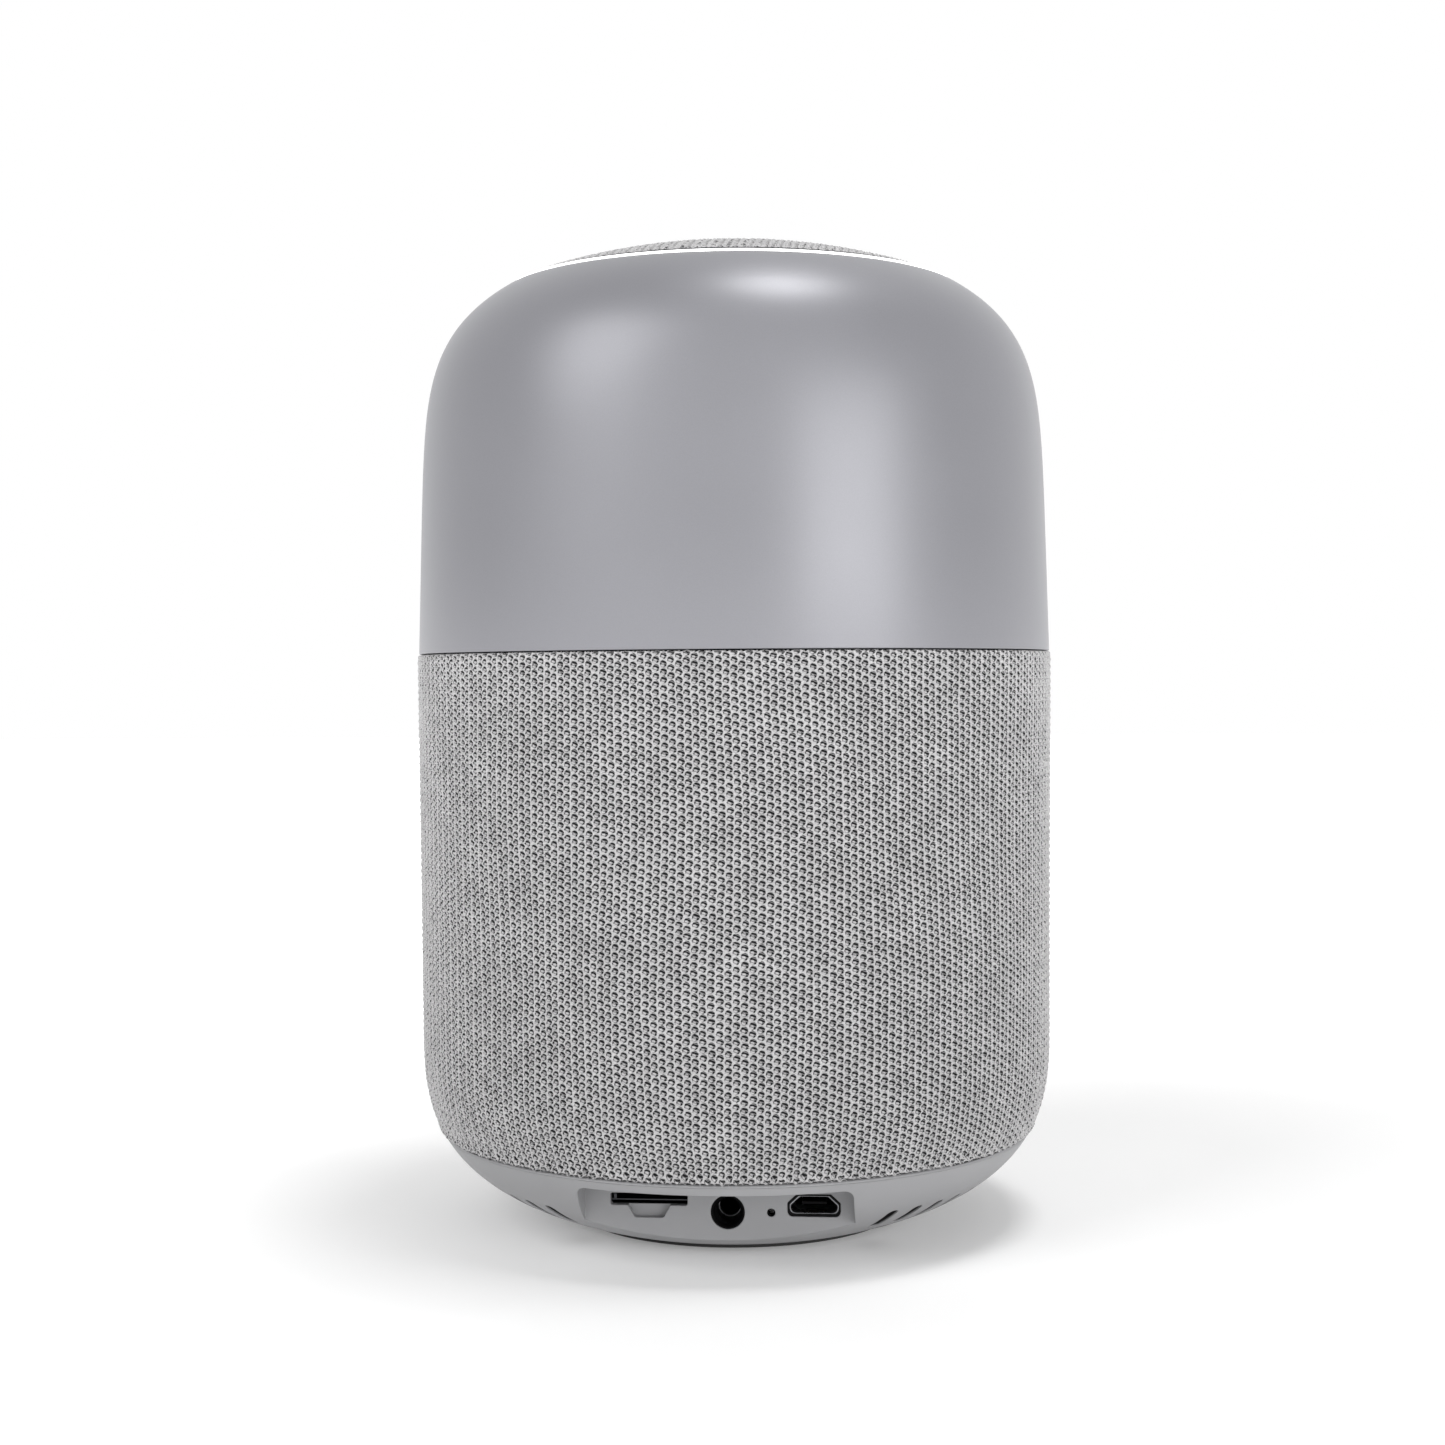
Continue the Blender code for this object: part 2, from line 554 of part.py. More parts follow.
def make_controls():
    low, high = CONTROL_FRAME_Z
    profile = [(44.0, high), (44.0, low), (12.0, low), (12.0, high)]
    frame = turned("control_frame", "black_plastic", profile, FINE)
    pegs = round_spots(CONTROL_PEG_CIRCLE, 3, 30)
    join(frame, upright("frame_pegs", None, 1.5, high - 0.5, CONTROL_BOARD_Z[1] + 1.0, pegs, 10))
    cut(frame, upright("frame_clearance", None, 1.5, 138, 144, round_spots(ROOF_BOSS_CIRCLE, 3, 90), 10))
    low, high = CONTROL_BOARD_Z
    profile = [(0, high), (37.8, high), (37.8, low), (0, low)]
    board = turned("control_board", "circuit_board", profile, FINE, closed=False)
    cut(board, upright("control_holes", None, 1.8, 140, 146, pegs, 10))
    strip_z, strip_in, strip_out = (high + 0.2, high + 0.6), LED_CIRCLE - 1.0, LED_CIRCLE + 1.0
    leds = turned(
        "led_ring", "diffuser_plastic",
        [(strip_out, strip_z[1]), (strip_out, strip_z[0]), (strip_in, strip_z[0]), (strip_in, strip_z[1])],
        FINE,
    )
    join(leds, blocks_round("led_bodies", (1.6, 3.0, 1.2), LED_CIRCLE, high + 1.0, even_angles(12)))
    for name, x in (("mic_left", -26.0), ("mic_right", 26.0)):
        block(name, "steel", (3.5, 2.7, 1.1), (x, 0, high + 0.85))

    encoder = block("encoder_body", "black_plastic", (12.0, 12.0, 6.2), (0, 0, high + GAP + 3.1))
    cut(encoder, block("encoder_hollow", None, (9.6, 9.6, 6.0), (0, 0, high + 1.8)))
    cut(encoder, upright("encoder_hole", None, 3.2, 146, 153, [(0, 0)], 20))
    turned(
        "encoder_bushing", "steel",
        [(3.6, 155.1), (3.6, 152.2), (5.0, 152.2), (5.0, 151.2), (3.1, 151.2), (3.1, 155.1)], 24,
    )
    profile = [(0, 145.9), (2.0, 145.7), (3.0, 145.2), (3.0, 144.7), (0, 144.7)]
    turned("dome_switch", "steel", profile, closed=False)
    turned(
        "press_plunger", "black_plastic",
        [(0, 148.6), (3.0, 148.6), (3.0, 147.4), (1.2, 147.4), (1.2, 146.6), (0, 146.6)], closed=False,
    )
    profile = [(0, 160.1), (2.5, 160.1), (2.9, 159.7), (2.9, 148.9), (0, 148.9)]
    shaft = turned("dial_shaft", "aluminium", profile, 24, closed=False)
    cut(shaft, block("shaft_flat", None, (4.0, 8.0, 6.0), (3.7, 0, 159.0)))


def make_crown():
    below = FABRIC + 0.2
    wall = 1.8
    edge_r, rim_z = CROWN_R - below, 151.5
    outer = crown(edge_r, 7, below)
    inner = crown(edge_r - wall, 4, below + wall)[::-1]
    inner = inner[inner[:, 0] > 6.0]
    hub_r, bore_r, hub_z, bore_z = 5.0, 3.1, 155.7, 160.4
    hub_top = crown(hub_r, 2, below + wall)[-1][1]
    turned(
        "dial_cap", "black_plastic",
        loop(
            outer, (edge_r, rim_z), (edge_r - wall, rim_z), inner, (hub_r, hub_top), (hub_r, hub_z),
            (bore_r, hub_z), (bore_r, bore_z), (0, bore_z),
        ),
        FINE, closed=False,
    )
    hem_z = 153.6
    outer = crown(CROWN_R, 7)
    inner = crown(CROWN_R - FABRIC, 7, FABRIC)[::-1]
    profile = loop(outer, (CROWN_R, hem_z), (CROWN_R - FABRIC, hem_z), inner)
    turned("dial_cloth", "knit", profile, FINE, closed=False)


def main():
    empty_scene()
    make_base()
    make_ports()
    make_sleeve()
    make_chamber()
    make_driver()
    make_radiator()
    make_deck()
    make_dome()
    make_controls()
    make_crown()


main()
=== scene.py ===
"""A smart speaker's looks: painted dome, light ring, knitted sleeve and crown, moulded bowl and its sockets.

Lengths are in millimetres until a mesh is made. Radii are from the speaker's axis, heights are above the
surface that it stands on, and the sockets face -Y.
"""

import json
import math

import bmesh
import bpy
import numpy as np
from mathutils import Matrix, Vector


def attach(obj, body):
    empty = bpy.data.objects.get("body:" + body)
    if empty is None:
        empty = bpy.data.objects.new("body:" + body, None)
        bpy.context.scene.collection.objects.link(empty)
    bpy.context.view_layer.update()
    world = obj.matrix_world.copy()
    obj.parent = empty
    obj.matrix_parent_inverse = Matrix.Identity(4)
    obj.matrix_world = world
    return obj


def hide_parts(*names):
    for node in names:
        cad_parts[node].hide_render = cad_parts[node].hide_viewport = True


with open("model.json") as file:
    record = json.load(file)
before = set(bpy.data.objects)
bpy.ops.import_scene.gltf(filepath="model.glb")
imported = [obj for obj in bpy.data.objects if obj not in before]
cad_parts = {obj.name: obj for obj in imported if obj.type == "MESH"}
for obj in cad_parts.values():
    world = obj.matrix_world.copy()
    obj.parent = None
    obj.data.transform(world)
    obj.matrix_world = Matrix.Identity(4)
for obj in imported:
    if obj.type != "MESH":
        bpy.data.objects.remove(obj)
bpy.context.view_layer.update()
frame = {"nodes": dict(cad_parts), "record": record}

bl_info = {
    "name": "Smart speaker",
    "version": (1, 0, 0),
    "blender": (4, 5, 0),
    "location": "View3D > Sidebar > Speaker",
    "description": "Makes the outer surfaces of a knitted smart speaker round its frame",
    "category": "Add Mesh",
}

MM = 0.001
ROUND = 320  # steps round a large turned piece

# The body's outline, as the frame has it.
SEAM_Z, SEAM_R = 94.2, 52.75
SHOULDER_HEIGHT, SHOULDER_TAPER, SHOULDER_POWERS = 69.6, 0.0281, (1.416, 7.5)
BOWL_R, BOWL_TOP_Z, BOWL_HEIGHT, BOWL_POWERS = 52.57, 34.2, 36.9, (2.0, 3.3)
DOME_TOP_Z = 154.8
KNIT_TOP_R, KNIT_LOW_Z = 52.95, 15.4
UNDERSIDE_Z, WALL = 1.0, 2.2
BOWL_WALL, BOWL_INSIDE_R = 1.2, 44.2  # thinned at the slots; the inner face stops at this radius
RING_OUT_R, RING_IN_R, RING_PROUD = 37.2, 36.1, 0.42
CROWN_R, CROWN_TOP_Z, CROWN_SPHERE_R = 35.7, 162.1, 104.9

# The recess and what opens into it.
PANEL_Y, RECESS_HALF, RECESS_TOP_Z, RECESS_ROUND = -35.0, 20.9, 13.3, 1.4
CARD_X, CARD_Z, CARD_SLOT = -10.9, 9.55, (12.0, 1.9)
JACK_X, JACK_Z, JACK_HOLE_R = 1.3, 7.7, 2.65
RESET_X, RESET_Z, RESET_HOLE_R = 8.0, 7.7, 0.65
USB_X, USB_Z, USB_HOLE = 14.6, 8.9, (8.2, 3.5)
SLOT_PITCH_DEG, SLOT_IN_R, SLOT_OUT_R, SLOT_WIDTH = 6.733, 37.0, 43.3, 1.9
SLOTS_EACH_SIDE = 21
FOOT_R, FOOT_TOP_Z = (20.0, 27.0), 1.7
SCREW_CIRCLE = 33.0

# The light ring's flange and foot, and the black band round it that stands in for the shade in the gap:
# painted shade.
RING_FLANGE_R, RING_FLANGE_Z, RING_LOW_Z = 38.0, (150.9, 149.9), 146.6
GAP_BAND_OUT, GAP_BAND_IN, GAP_BAND_Z = 0.22, 0.04, (-0.1, -1.5)  # from the ring's radius, and from the dome's top
CROWN_BAND_OUT, CROWN_BAND_IN, CROWN_BAND_Z = 0.12, 0.3, (155.62, 153.8)  # a black band at the crown's edge, standing in for the shade in the gap above the ring (painted shade), from the crown's radius

# The bowl's own edges.
LIP_R, LIP_TOP_Z = (44.4, 46.4), 20.0  # the collar that goes up behind the knit
FOOT_GAP, FOOT_GROOVE_Z = 0.3, 2.0
SLOT_FLOOR_Z, SLOT_TOP_Z = -1.0, 14.0
SHADE_SHEET_BEHIND, SHADE_SHEET_THICK = 1.45, 1.8  # a black sheet behind the slots, painted shade: mm behind the bowl's surface, front and back faces
INSIDE_SHADE_LEVELS = (0.993, 0.985)  # where the painted shade starts and is full black, as the bowl's level: 1 is its surface
INSIDE_SHADE_FROM_Y = (PANEL_Y + 1.25, PANEL_Y + 1.5)
NOTCH_HALF, NOTCH_LOW_HALF, NOTCH_DROP, NOTCH_DEPTH = 3.3, 2.25, 2.85, 1.2
USB_CORNER = (1.45, 1.35)  # how far the upper corners are cut away, across and down
JACK_PROFILE = (  # radius and distance from the axis, along -Y
    (2.6, 34.95), (2.6, 29.0), (1.8, 29.0), (1.8, 33.2), (2.3, 34.0), (2.3, 34.75), (2.45, 34.95),
)
JACK_SPRING = ((1.78, 30.2), (1.78, 29.2), (1.66, 29.2), (1.66, 30.2))

# The knit: one hole in each column and row, every other column half a row lower.
COLUMNS = 280
PITCH = 2 * math.pi * KNIT_TOP_R / COLUMNS
SECTORS = 8
PER_COLUMN, PER_ROW = 6, 5
LOOP_LEFT, LOOP_DOWN = 0.12, 0.17  # how far a loop's middle lies from its hole's, in cells
COLUMN_LEAN, STITCH_JITTER, SPREAD_CHANGE = 0.5, 0.10, 0.035  # in cells
HEM_AT = 1.7  # how far the sleeve's visible lower edge is from its tucked-in end
HEM_REACH, HEM_DROP, HEM_STAND = 0.8, 0.42, 0.28
KNIT_CLEAR = 0.12  # the knit's ground under the frame's outer surface
CROWN_DEEPER = 1.25  # the crown's holes are deeper than the sleeve's
HOLE_EDGE, LOOP_EDGE, FRAY = (0.49, 0.41), (0.29, 0.19), 0.16

# The stage. Lengths are in metres, angles in degrees.
CARD_ALBEDO, CARD_GLOW_IN_SHADOW, CARD_FAR_GLOW = 0.80, 0.2, 1.1  # a pale card table that glows, white far off and dimmer near the speaker: a painted shadow round its base; the glow also lights the speaker from below
PAINTED_SHADOW_REACH = (0.06, 0.45)
ROOM_LEVEL = 1.25
WORLD_STOPS = [(0.0, (0.56,) * 3), (0.5, (0.08,) * 3), (1.0, (1.0,) * 3)]
LAMPS = (  # name, azimuth and elevation in degrees, distance, width and height in metres, radiance
    ("overhead_softbox", 81.0, 79.0, 1.5, 0.40, 0.40, 17.5),
    ("right_softbox", 46.0, 5.5, 1.5, 0.95, 0.62, 4.8),
    ("left_softbox", -48.0, 34.0, 1.5, 0.80, 0.96, 3.7),
)
CAMERA_LENS = 54.7
CAMERA_DISTANCE = 0.3716
CAMERA_Z = 0.0899
CAMERA_AZIMUTH = 4.6
CAMERA_DOWN = 1.15
CAMERA_YAW = 0.31
CAMERA_ROLL = -0.38


def shade(hex_colour):
    """An sRGB hex value as linear red, green and blue."""
    parts = [int(hex_colour[k : k + 2], 16) / 255 for k in (1, 3, 5)]
    return tuple(c / 12.92 if c <= 0.04045 else ((c + 0.055) / 1.055) ** 2.4 for c in parts)


class SpeakerForm(bpy.types.PropertyGroup):
    """Sizes that can be changed without a change to the frame."""

    knit_relief: bpy.props.FloatProperty(
        name="Knit relief",
        description="How deep the knit's holes are, in millimetres",
        default=0.3,
        min=0.0,
        max=0.6,
    )
    edge_round: bpy.props.FloatProperty(
        name="Edge rounding",
        description="Radius of the shells' outer edges, in millimetres",
        default=0.35,
        min=0.05,
        max=1.0,
    )


class SpeakerFinish(bpy.types.PropertyGroup):
    """Colours and light."""

    paint: bpy.props.FloatVectorProperty(
        name="Dome paint", description="Colour of the dome", subtype="COLOR", default=shade("#8A8A8F")
    )
    yarn: bpy.props.FloatVectorProperty(
        name="Yarn", description="Colour of the knit's yarn", subtype="COLOR", default=shade("#BFBEBF")
    )
    base: bpy.props.FloatVectorProperty(
        name="Base plastic", description="Colour of the bowl", subtype="COLOR", default=shade("#969698")
    )
    glow: bpy.props.FloatProperty(
        name="Ring glow", description="Brightness of the light ring", default=1.0, min=0.0, max=10.0
    )


# Surfaces


def shoulder(high_z, low_z, count):
    """The dome's outline, evenly spread by sweep angle.

    Its radius is a straight taper times a superellipse in height: r = (R - taper h) cos(a)^(2/p), with the
    height h = H sin(a)^(2/q).
    """
    power_r, power_z = SHOULDER_POWERS
    start, end = (math.asin(((z - SEAM_Z) / SHOULDER_HEIGHT) ** (power_z / 2)) for z in (high_z, low_z))
    angle = np.linspace(start, end, count)
    z = SEAM_Z + SHOULDER_HEIGHT * np.sin(angle) ** (2 / power_z)
    r = (SEAM_R - SHOULDER_TAPER * (z - SEAM_Z)) * np.cos(angle) ** (2 / power_r)
    return np.column_stack((r, z))


def bowl(high_z, low_z, count):
    """The lower outline, evenly spread by sweep angle: (r / R)^p + (depth / H)^q = 1, a superellipse."""
    power_r, power_z = BOWL_POWERS
    start, end = (math.asin(((BOWL_TOP_Z - z) / BOWL_HEIGHT) ** (power_z / 2)) for z in (high_z, low_z))
    angle = np.linspace(start, end, count)
    z = BOWL_TOP_Z - BOWL_HEIGHT * np.sin(angle) ** (2 / power_z)
    return np.column_stack((BOWL_R * np.cos(angle) ** (2 / power_r), z))


def inward(outline):
    """The unit normal into the body at each point of an outline that runs down an outer side."""
    step = np.gradient(outline, axis=0)
    return np.column_stack((step[:, 1], -step[:, 0])) / np.linalg.norm(step, axis=1)[:, None]


def evenly(outline, step):
    """An outline's points moved along it to equal steps, with the distance of each from its start."""
    along = np.concatenate(([0.0], np.cumsum(np.linalg.norm(np.diff(outline, axis=0), axis=1))))
    at = np.linspace(0.0, along[-1], max(2, round(along[-1] / step) + 1))
    return np.column_stack([np.interp(at, along, outline[:, k]) for k in (0, 1)]), at


def filleted(corners, radii, steps=5, closed=True):
    """Corners joined by straight lines, each rounded by an arc of its own radius that touches both.

    With h half the angle between the lines, the arc starts radius / tan(h) from the corner, and its middle
    is radius / sin(h) away, on the line that halves the angle.
    """
    points = []
    count = len(corners)
    for k, radius in enumerate(radii):
        here = np.array(corners[k], float)
        if radius <= 0 or (not closed and k in (0, count - 1)):
            points.append(here)
            continue
        before = np.array(corners[k - 1], float) - here
        after = np.array(corners[(k + 1) % count], float) - here
        before /= np.linalg.norm(before)
        after /= np.linalg.norm(after)
        half = math.acos(float(np.clip(before @ after, -1, 1))) / 2
        reach = radius / math.tan(half)
        middle = here + (before + after) / np.linalg.norm(before + after) * radius / math.sin(half)
        first, last = here + before * reach - middle, here + after * reach - middle
        start = math.atan2(first[1], first[0])
        sweep = (math.atan2(last[1], last[0]) - start + math.pi) % (2 * math.pi) - math.pi
        angle = start + sweep * np.linspace(0, 1, steps + 1)
        points.extend(middle + radius * np.column_stack((np.cos(angle), np.sin(angle))))
    return np.array(points)


def grid_quads(rows, columns, wrap_rows=False, wrap_columns=False):
    """Corner numbers of the quads of a grid of points, with a wrapped side joined to its start."""
    index = np.arange(rows * columns).reshape(rows, columns)
    if wrap_rows:
        index = np.vstack((index, index[:1]))
    if wrap_columns:
        index = np.hstack((index, index[:, :1]))
    corners = (index[:-1, :-1], index[1:, :-1], index[1:, 1:], index[:-1, 1:])
    return np.stack(corners, axis=-1).reshape(-1, 4)


def mesh_from(name, points, quads):
    """A smooth-shaded object at the origin from points in millimetres and quads."""
    mesh = bpy.data.meshes.new(name)
    mesh.vertices.add(len(points))
    mesh.vertices.foreach_set("co", (np.asarray(points, float) * MM).ravel())
    mesh.loops.add(quads.size)
    mesh.loops.foreach_set("vertex_index", quads.ravel().astype(np.int32))
    mesh.polygons.add(len(quads))
    mesh.polygons.foreach_set("loop_start", np.arange(len(quads), dtype=np.int32) * 4)
    mesh.update(calc_edges=True)
    mesh.shade_smooth()
    obj = bpy.data.objects.new(name, mesh)
    bpy.context.scene.collection.objects.link(obj)
    return obj


def tidied(obj, sharp_deg=None):
    """Merges doubles, turns the faces outwards, and marks edges sharper than an angle."""
    bm = bmesh.new()
    bm.from_mesh(obj.data)
    bmesh.ops.remove_doubles(bm, verts=bm.verts, dist=1e-7)
    bmesh.ops.recalc_face_normals(bm, faces=bm.faces)
    bm.to_mesh(obj.data)
    bm.free()
    if sharp_deg is not None:
        obj.data.set_sharp_from_angle(angle=math.radians(sharp_deg))
    return obj


def turned(name, profile, steps=ROUND, closed=True, along_y=None, sharp_deg=None):
    """Each (radius, height) of the profile carried round the axis: x = r cos(a), y = r sin(a).

    With `along_y` the axis passes through that (x, z) and points along -Y.
    """
    angle = np.arange(steps) * 2 * np.pi / steps
    profile = np.asarray(profile, float)
    x = profile[:, 0][:, None] * np.cos(angle)
    y = profile[:, 0][:, None] * np.sin(angle)
    z = np.broadcast_to(profile[:, 1][:, None], x.shape)
    points = np.stack((x, y, z), axis=-1).reshape(-1, 3)
    if along_y is not None:
        points = np.column_stack((points[:, 0] + along_y[0], -points[:, 2], points[:, 1] + along_y[1]))
    return tidied(mesh_from(name, points, grid_quads(len(profile), steps, closed, True)), sharp_deg)


def prism(name, outline, start, end, upright=False):
    """A flat outline carried straight, its ends filled: (x, z) along Y, or (x, y) along Z if upright."""
    outline = np.asarray(outline, float)
    count = len(outline)
    layers = [np.insert(outline, 2 if upright else 1, level, axis=1) for level in (start, end)]
    points = np.vstack(layers) * MM
    sides = [(k, (k + 1) % count, count + (k + 1) % count, count + k) for k in range(count)]
    mesh = bpy.data.meshes.new(name)
    mesh.from_pydata(points.tolist(), [], [*sides, tuple(range(count)), tuple(range(count, 2 * count))])
    obj = bpy.data.objects.new(name, mesh)
    bpy.context.scene.collection.objects.link(obj)
    return tidied(obj)


def joined(name, objects):
    """Several loose objects as one mesh."""
    bm = bmesh.new()
    for obj in objects:
        bm.from_mesh(obj.data)
        bpy.data.objects.remove(obj)
    mesh = bpy.data.meshes.new(name)
    bm.to_mesh(mesh)
    bm.free()
    obj = bpy.data.objects.new(name, mesh)
    bpy.context.scene.collection.objects.link(obj)
    return obj


def combined(obj, operation, tools):
    """The object after one boolean with each tool in turn, as plain mesh. The tools are used up."""
    for tool in tools:
        boolean = obj.modifiers.new("boolean", "BOOLEAN")
        boolean.operation = operation
        boolean.object = tool
    evaluated = obj.evaluated_get(bpy.context.evaluated_depsgraph_get())
    mesh = bpy.data.meshes.new_from_object(evaluated)
    obj.modifiers.clear()
    obj.data = mesh
    for tool in tools:
        bpy.data.objects.remove(tool)
    return obj


def carved(obj, cutters, sharp_deg=30):
    """The object with the cutters taken away, smooth-shaded up to an edge angle."""
    combined(obj, "DIFFERENCE", cutters)
    obj.data.shade_smooth()
    obj.data.set_sharp_from_angle(angle=math.radians(sharp_deg))
    return obj


def rounded_box(low_x, high_x, low_z, high_z, radius, steps=5):
    """A rectangle's outline with four equal round corners."""
    corners = [(low_x, high_z), (high_x, high_z), (high_x, low_z), (low_x, low_z)]
    return filleted(corners, [radius] * 4, steps)


# The knit


def smooth_noise(u, v, period_u, seed):
    """Smooth random values between -1 and 1 at (u, v), which repeat every `period_u` whole steps of u."""
    rows = int(np.floor(v.max())) - int(np.floor(v.min())) + 2
    values = np.random.default_rng(seed).uniform(-1, 1, (rows, period_u))
    low_u, low_v = np.floor(u).astype(int), np.floor(v).astype(int)
    part_u, part_v = u - low_u, v - low_v
    part_u, part_v = part_u**2 * (3 - 2 * part_u), part_v**2 * (3 - 2 * part_v)
    row, first, second = low_v - low_v.min(), low_u % period_u, (low_u + 1) % period_u
    above = values[row, first] * (1 - part_u) + values[row, second] * part_u
    below = values[row + 1, first] * (1 - part_u) + values[row + 1, second] * part_u
    return above * (1 - part_v) + below * part_v


def step_between(low, high, value):
    """0 at `low`, 1 at `high`, eased at both ends."""
    part = np.clip((value - low) / (high - low), 0, 1)
    return part**2 * (3 - 2 * part)


def loop_coordinates(u, v, period_u):
    """Column and row positions, with a slow lean and a fine jitter, and how far each hole spreads."""
    lean = COLUMN_LEAN * smooth_noise(u * period_u / COLUMNS / 20, v / 22, max(2, round(period_u / 20)), 11)
    fine_u = STITCH_JITTER * smooth_noise(u / 2, v / 2, period_u // 2, 12)
    fine_v = STITCH_JITTER * smooth_noise(u / 2, v / 2, period_u // 2, 13)
    spread = SPREAD_CHANGE * smooth_noise(u, v, period_u, 14)
    return u + lean + fine_u, v + fine_v, spread


def hole_depth(u, v, spread):
    """From 0 on the yarn to 1 in a hole: a disc in each cell, less the loop over its lower left.

    Depth = disc (1 - 0.8 loop), where both ease from 1 to 0 with the distance from their own middles.
    """
    column = np.floor(u)
    x = u - column - 0.5
    shifted = v + 0.5 * (column % 2)
    y = shifted - np.floor(shifted) - 0.5
    disc = step_between(0.52, 0.38, np.hypot(x, y) - spread)
    loop = step_between(0.34, 0.14, np.hypot(x + LOOP_LEFT, y + LOOP_DOWN) + 0.5 * spread)
    return disc * (1 - 0.8 * loop)


def knit_height(u, v, spread, relief):
    """The knit's surface above its ground: a low swell along every yarn, less relief times hole depth."""
    swell = 0.05 * np.cos(2 * np.pi * (u + v)) + 0.05 * np.cos(2 * np.pi * (u - v))
    return swell - relief * hole_depth(u, v, spread)


def stitched(obj, u, v, spread):
    """Keeps each point's column, row and hole spread on the mesh, for the material to follow."""
    kept = obj.data.attributes.new("stitch", "FLOAT_VECTOR", "POINT")
    values = np.column_stack((u.ravel(), v.ravel(), spread.ravel()))
    kept.data.foreach_set("vector", values.astype(np.float32).ravel())
    return obj


# Materials


def put(tree, kind, *values, named=None, **settings):
    """A node with its settings. Values feed its sockets in order, `named` by name; nodes are linked."""
    made = tree.nodes.new("ShaderNode" + kind)
    for key, value in settings.items():
        setattr(made, key, value)
    for socket, value in [*enumerate(values), *(named or {}).items()]:
        if isinstance(value, bpy.types.Node):
            value = value.outputs[0]
        if isinstance(value, bpy.types.NodeSocket):
            tree.links.new(value, made.inputs[socket])
        elif value is not None:
            made.inputs[socket].default_value = value
    return made


def sums(tree, operation, *values):
    """A Math node of one operation."""
    return put(tree, "Math", *values, operation=operation)


def vectors(tree, operation, *values):
    """A VectorMath node of one operation."""
    return put(tree, "VectorMath", *values, operation=operation)


def blank(name, **sockets):
    """A new material, its node tree and its Principled shader with plain values on its own sockets."""
    made = bpy.data.materials.new(name)
    made.use_nodes = True
    shader = made.node_tree.nodes["Principled BSDF"]
    for socket, value in sockets.items():
        shader.inputs[socket.replace("_", " ")].default_value = value
    return made, made.node_tree, shader


def ramp(tree, factor, stops):
    """A colour ramp through (place, colour) stops."""
    made = put(tree, "ValToRGB", factor)
    elements = made.color_ramp.elements
    while len(elements) < len(stops):
        elements.new(0.5)
    for element, (place, colour) in zip(elements, stops):
        element.position = place
        element.color = (*colour, 1.0)
    return made


def mottled(tree, shader, cloud, dark, light, dull, glossy):
    """Lets a cloudy noise shift the base colour from dark to light, and the roughness over a small range."""
    tone = ramp(tree, cloud, [(0.3, dark), (0.7, light)])
    tree.links.new(tone.outputs[0], shader.inputs["Base Color"])
    gloss = put(tree, "MapRange", cloud, 0.3, 0.7, dull, glossy)
    tree.links.new(gloss.outputs[0], shader.inputs["Roughness"])


def bumped(tree, shader, height, strength, distance, normal=None):
    """Presses a height into the shading normal; the distance is in metres."""
    named = {"Height": height, "Strength": strength, "Distance": distance, "Normal": normal}
    bump = put(tree, "Bump", named=named)
    tree.links.new(bump.outputs[0], shader.inputs["Normal"])


def scaled(colour, factor):
    """A colour made lighter or darker, kept under 1."""
    return tuple(min(1.0, c * factor) for c in colour)


def satin_paint(name, colour):
    """Satin silver-grey paint sprayed on moulded ABS: a soft even gloss, fine flake, faint orange peel."""
    made, tree, shader = blank(name, Roughness=0.38, Metallic=0.25, IOR=1.5)
    place = put(tree, "TexCoord").outputs["Object"]
    flake = put(tree, "TexVoronoi", named={"Vector": place, "Scale": 9000.0})  # 0.1 mm flakes
    cloud = put(tree, "TexNoise", named={"Vector": place, "Scale": 45.0, "Detail": 3.0})
    flecks = sums(tree, "MULTIPLY", flake.outputs["Color"], 0.12)
    tint = sums(tree, "ADD", flecks, sums(tree, "MULTIPLY", cloud, 0.10))
    tone = ramp(tree, tint, [(0.0, scaled(colour, 0.94)), (0.22, scaled(colour, 1.05))])
    tree.links.new(tone.outputs[0], shader.inputs["Base Color"])
    gloss = put(tree, "MapRange", cloud, 0.3, 0.7, 0.36, 0.41)
    tree.links.new(gloss.outputs[0], shader.inputs["Roughness"])
    peel = put(tree, "TexNoise", named={"Vector": place, "Scale": 900.0, "Detail": 2.0})  # about 1 mm across
    bumped(tree, shader, peel, 0.05, 0.0001)
    return made


def moulded_plastic(name, colour, roughness=0.5, grain_mm=0.25, grain=0.12, edge_mm=0.25, shine=0.5):
    """Moulded ABS from a spark-eroded tool: a fine even grain, slight gloss changes, and softened edges."""
    made, tree, shader = blank(name, Roughness=roughness, IOR=1.53, Specular_IOR_Level=shine)
    place = put(tree, "TexCoord").outputs["Object"]
    cloud = put(tree, "TexNoise", named={"Vector": place, "Scale": 60.0, "Detail": 4.0})
    dark, light = scaled(colour, 0.96), scaled(colour, 1.04)
    mottled(tree, shader, cloud, dark, light, roughness - 0.04, roughness + 0.04)
    sparks = put(tree, "TexNoise", named={"Vector": place, "Scale": 1 / (grain_mm * MM), "Detail": 2.0})
    edge = put(tree, "Bevel", named={"Radius": edge_mm * MM}, samples=4) if edge_mm else None
    bumped(tree, shader, sparks, grain, 0.00005, edge)
    return made


